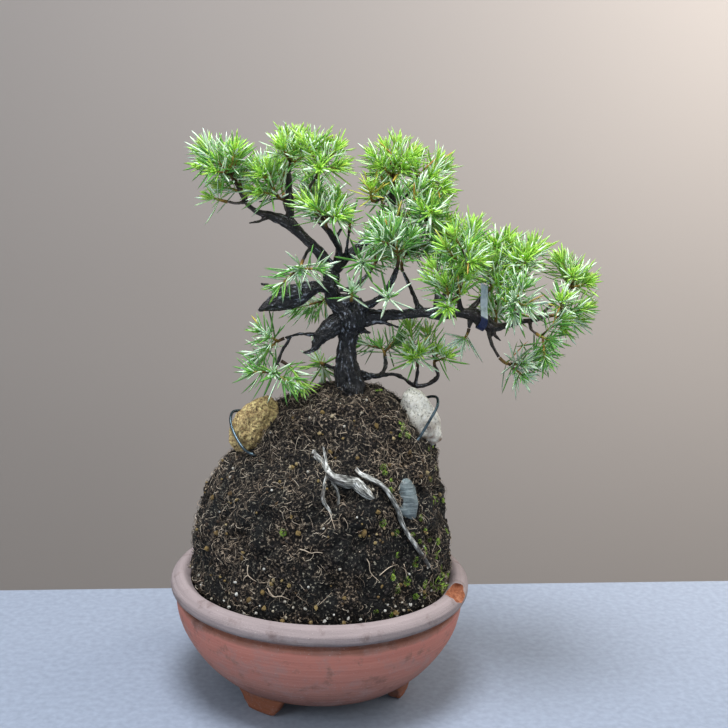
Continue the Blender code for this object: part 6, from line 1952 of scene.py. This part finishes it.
class BonsaiStage(bpy.types.PropertyGroup):
    """The table, the wall, the lights and the camera."""
    table_colour: colour("Table", "Painted table board", "#8b95a4")
    wall_colour: colour("Wall", "Matt wall", "#8f8a86")
    table_back: length("Table edge", "Where the table ends behind the bowl", 142.0, 90.0, 2000.0)
    table_turn: turn("Table turn", "How far the table's back edge is turned from square", 6.4)
    room_colour: colour("Room", "Light from the room all round", "#dfe4ea")
    room_light: share("Room light", "Strength of the light all round", 0.75, 0.0, 5.0)
    main_light: bpy.props.FloatProperty(
        name="Main light", description="Power of the light above the tree", default=25.5,
        min=0.0, unit="POWER")
    lens: bpy.props.FloatProperty(
        name="Lens", description="Focal length of the photograph's camera", default=64.3,
        min=10.0, unit="CAMERA")
    pitch: turn("Pitch", "How far the camera looks down", 13.3)
    roll: turn("Roll", "How far the camera is turned about its view", 1.8)


GROUPS = {
    "bonsai_bowl": BonsaiBowl, "bonsai_soil": BonsaiSoil, "bonsai_stones": BonsaiStones,
    "bonsai_bark": BonsaiBark, "bonsai_leaves": BonsaiLeaves, "bonsai_label": BonsaiLabel,
    "bonsai_stage": BonsaiStage,
}


# One operator for each piece or group of like pieces

class BONSAI_OT_bowl(bpy.types.Operator):
    """Turn the clay bowl, with its feet and its chipped collar"""
    bl_idname = "bonsai.bowl"
    bl_label = "Clay bowl"

    def execute(self, context):
        make_bowl(context.scene.bonsai_bowl)
        return {"FINISHED"}


class BONSAI_OT_drain_net(bpy.types.Operator):
    """Give the net over the drain hole its finish"""
    bl_idname = "bonsai.drain_net"
    bl_label = "Drain net"

    def execute(self, context):
        finish_drain_net()
        return {"FINISHED"}


class BONSAI_OT_soil(bpy.types.Operator):
    """Shape the soil mound's crumbly skin"""
    bl_idname = "bonsai.soil"
    bl_label = "Soil"

    def execute(self, context):
        make_soil(context.scene.bonsai_soil)
        return {"FINISHED"}


class BONSAI_OT_rootlets(bpy.types.Operator):
    """Lay hair roots and stray roots on the soil"""
    bl_idname = "bonsai.rootlets"
    bl_label = "Rootlets"

    def execute(self, context):
        make_rootlets(context.scene.bonsai_soil)
        return {"FINISHED"}


class BONSAI_OT_grit(bpy.types.Operator):
    """Bed crumbs, baked clay and pumice in the soil"""
    bl_idname = "bonsai.grit"
    bl_label = "Grit"

    def execute(self, context):
        make_grit(context.scene.bonsai_soil)
        return {"FINISHED"}


class BONSAI_OT_moss(bpy.types.Operator):
    """Plant moss and grass on the soil"""
    bl_idname = "bonsai.moss"
    bl_label = "Moss"

    def execute(self, context):
        make_moss(context.scene.bonsai_soil)
        return {"FINISHED"}


class BONSAI_OT_rock(bpy.types.Operator):
    """Make the rock inside the soil"""
    bl_idname = "bonsai.rock"
    bl_label = "Rock"

    def execute(self, context):
        make_rock(context.scene.bonsai_stones)
        return {"FINISHED"}


class BONSAI_OT_stones(bpy.types.Operator):
    """Make the two stones that lean on the soil"""
    bl_idname = "bonsai.stones"
    bl_label = "Stones"

    def execute(self, context):
        make_stones(context.scene.bonsai_stones)
        return {"FINISHED"}


class BONSAI_OT_wires(bpy.types.Operator):
    """Bend the two training wires over their stones"""
    bl_idname = "bonsai.wires"
    bl_label = "Wires"

    def execute(self, context):
        make_wires(context.scene.bonsai_stones)
        return {"FINISHED"}


class BONSAI_OT_limbs(bpy.types.Operator):
    """Grow the trunk and limbs as one skin of bark"""
    bl_idname = "bonsai.limbs"
    bl_label = "Trunk and limbs"

    def execute(self, context):
        make_limbs(context.scene.bonsai_bark)
        return {"FINISHED"}


class BONSAI_OT_surface_roots(bpy.types.Operator):
    """Lay the thick bare roots on the soil"""
    bl_idname = "bonsai.surface_roots"
    bl_label = "Bare roots"

    def execute(self, context):
        make_surface_roots(context.scene.bonsai_bark)
        return {"FINISHED"}


class BONSAI_OT_needles(bpy.types.Operator):
    """Clothe every shoot in needles"""
    bl_idname = "bonsai.needles"
    bl_label = "Needles"

    def execute(self, context):
        make_needles(context.scene.bonsai_leaves)
        return {"FINISHED"}


class BONSAI_OT_label(bpy.types.Operator):
    """Bend the bare plant label round its limb"""
    bl_idname = "bonsai.label"
    bl_label = "Label"

    def execute(self, context):
        make_label(context.scene.bonsai_label)
        return {"FINISHED"}


class BONSAI_OT_stage(bpy.types.Operator):
    """Set the table, the wall, the lights and the camera"""
    bl_idname = "bonsai.stage"
    bl_label = "Stage"

    def execute(self, context):
        make_stage(context.scene.bonsai_stage)
        return {"FINISHED"}


OPERATORS = (
    BONSAI_OT_bowl, BONSAI_OT_drain_net, BONSAI_OT_soil, BONSAI_OT_rootlets, BONSAI_OT_grit,
    BONSAI_OT_moss, BONSAI_OT_rock, BONSAI_OT_stones, BONSAI_OT_wires, BONSAI_OT_limbs,
    BONSAI_OT_surface_roots, BONSAI_OT_needles, BONSAI_OT_label, BONSAI_OT_stage,
)


class BONSAI_PT_pieces(bpy.types.Panel):
    """Lists the pieces and their settings"""
    bl_idname = "BONSAI_PT_pieces"
    bl_label = "Root over rock bonsai"
    bl_space_type = "VIEW_3D"
    bl_region_type = "UI"
    bl_category = "Bonsai"

    def draw(self, context):
        for group in GROUPS:
            settings = getattr(context.scene, group)
            box = self.layout.box()
            box.label(text=group.split("_")[1].capitalize())
            for name in settings.__annotations__:
                box.prop(settings, name)
        for operator in OPERATORS:
            self.layout.operator(operator.bl_idname)


def register():
    """Make the settings, the operators and the panel known to Blender."""
    for group, kind in GROUPS.items():
        bpy.utils.register_class(kind)
        setattr(bpy.types.Scene, group, bpy.props.PointerProperty(type=kind))
    for kind in (*OPERATORS, BONSAI_PT_pieces):
        bpy.utils.register_class(kind)


def unregister():
    """Take them away again."""
    for kind in (BONSAI_PT_pieces, *reversed(OPERATORS)):
        bpy.utils.unregister_class(kind)
    for group, kind in GROUPS.items():
        delattr(bpy.types.Scene, group)
        bpy.utils.unregister_class(kind)


def main():
    """Make every piece in order."""
    register()
    for kind in OPERATORS:
        family, name = kind.bl_idname.split(".")
        getattr(getattr(bpy.ops, family), name)()


if __name__ == "__main__":
    main()
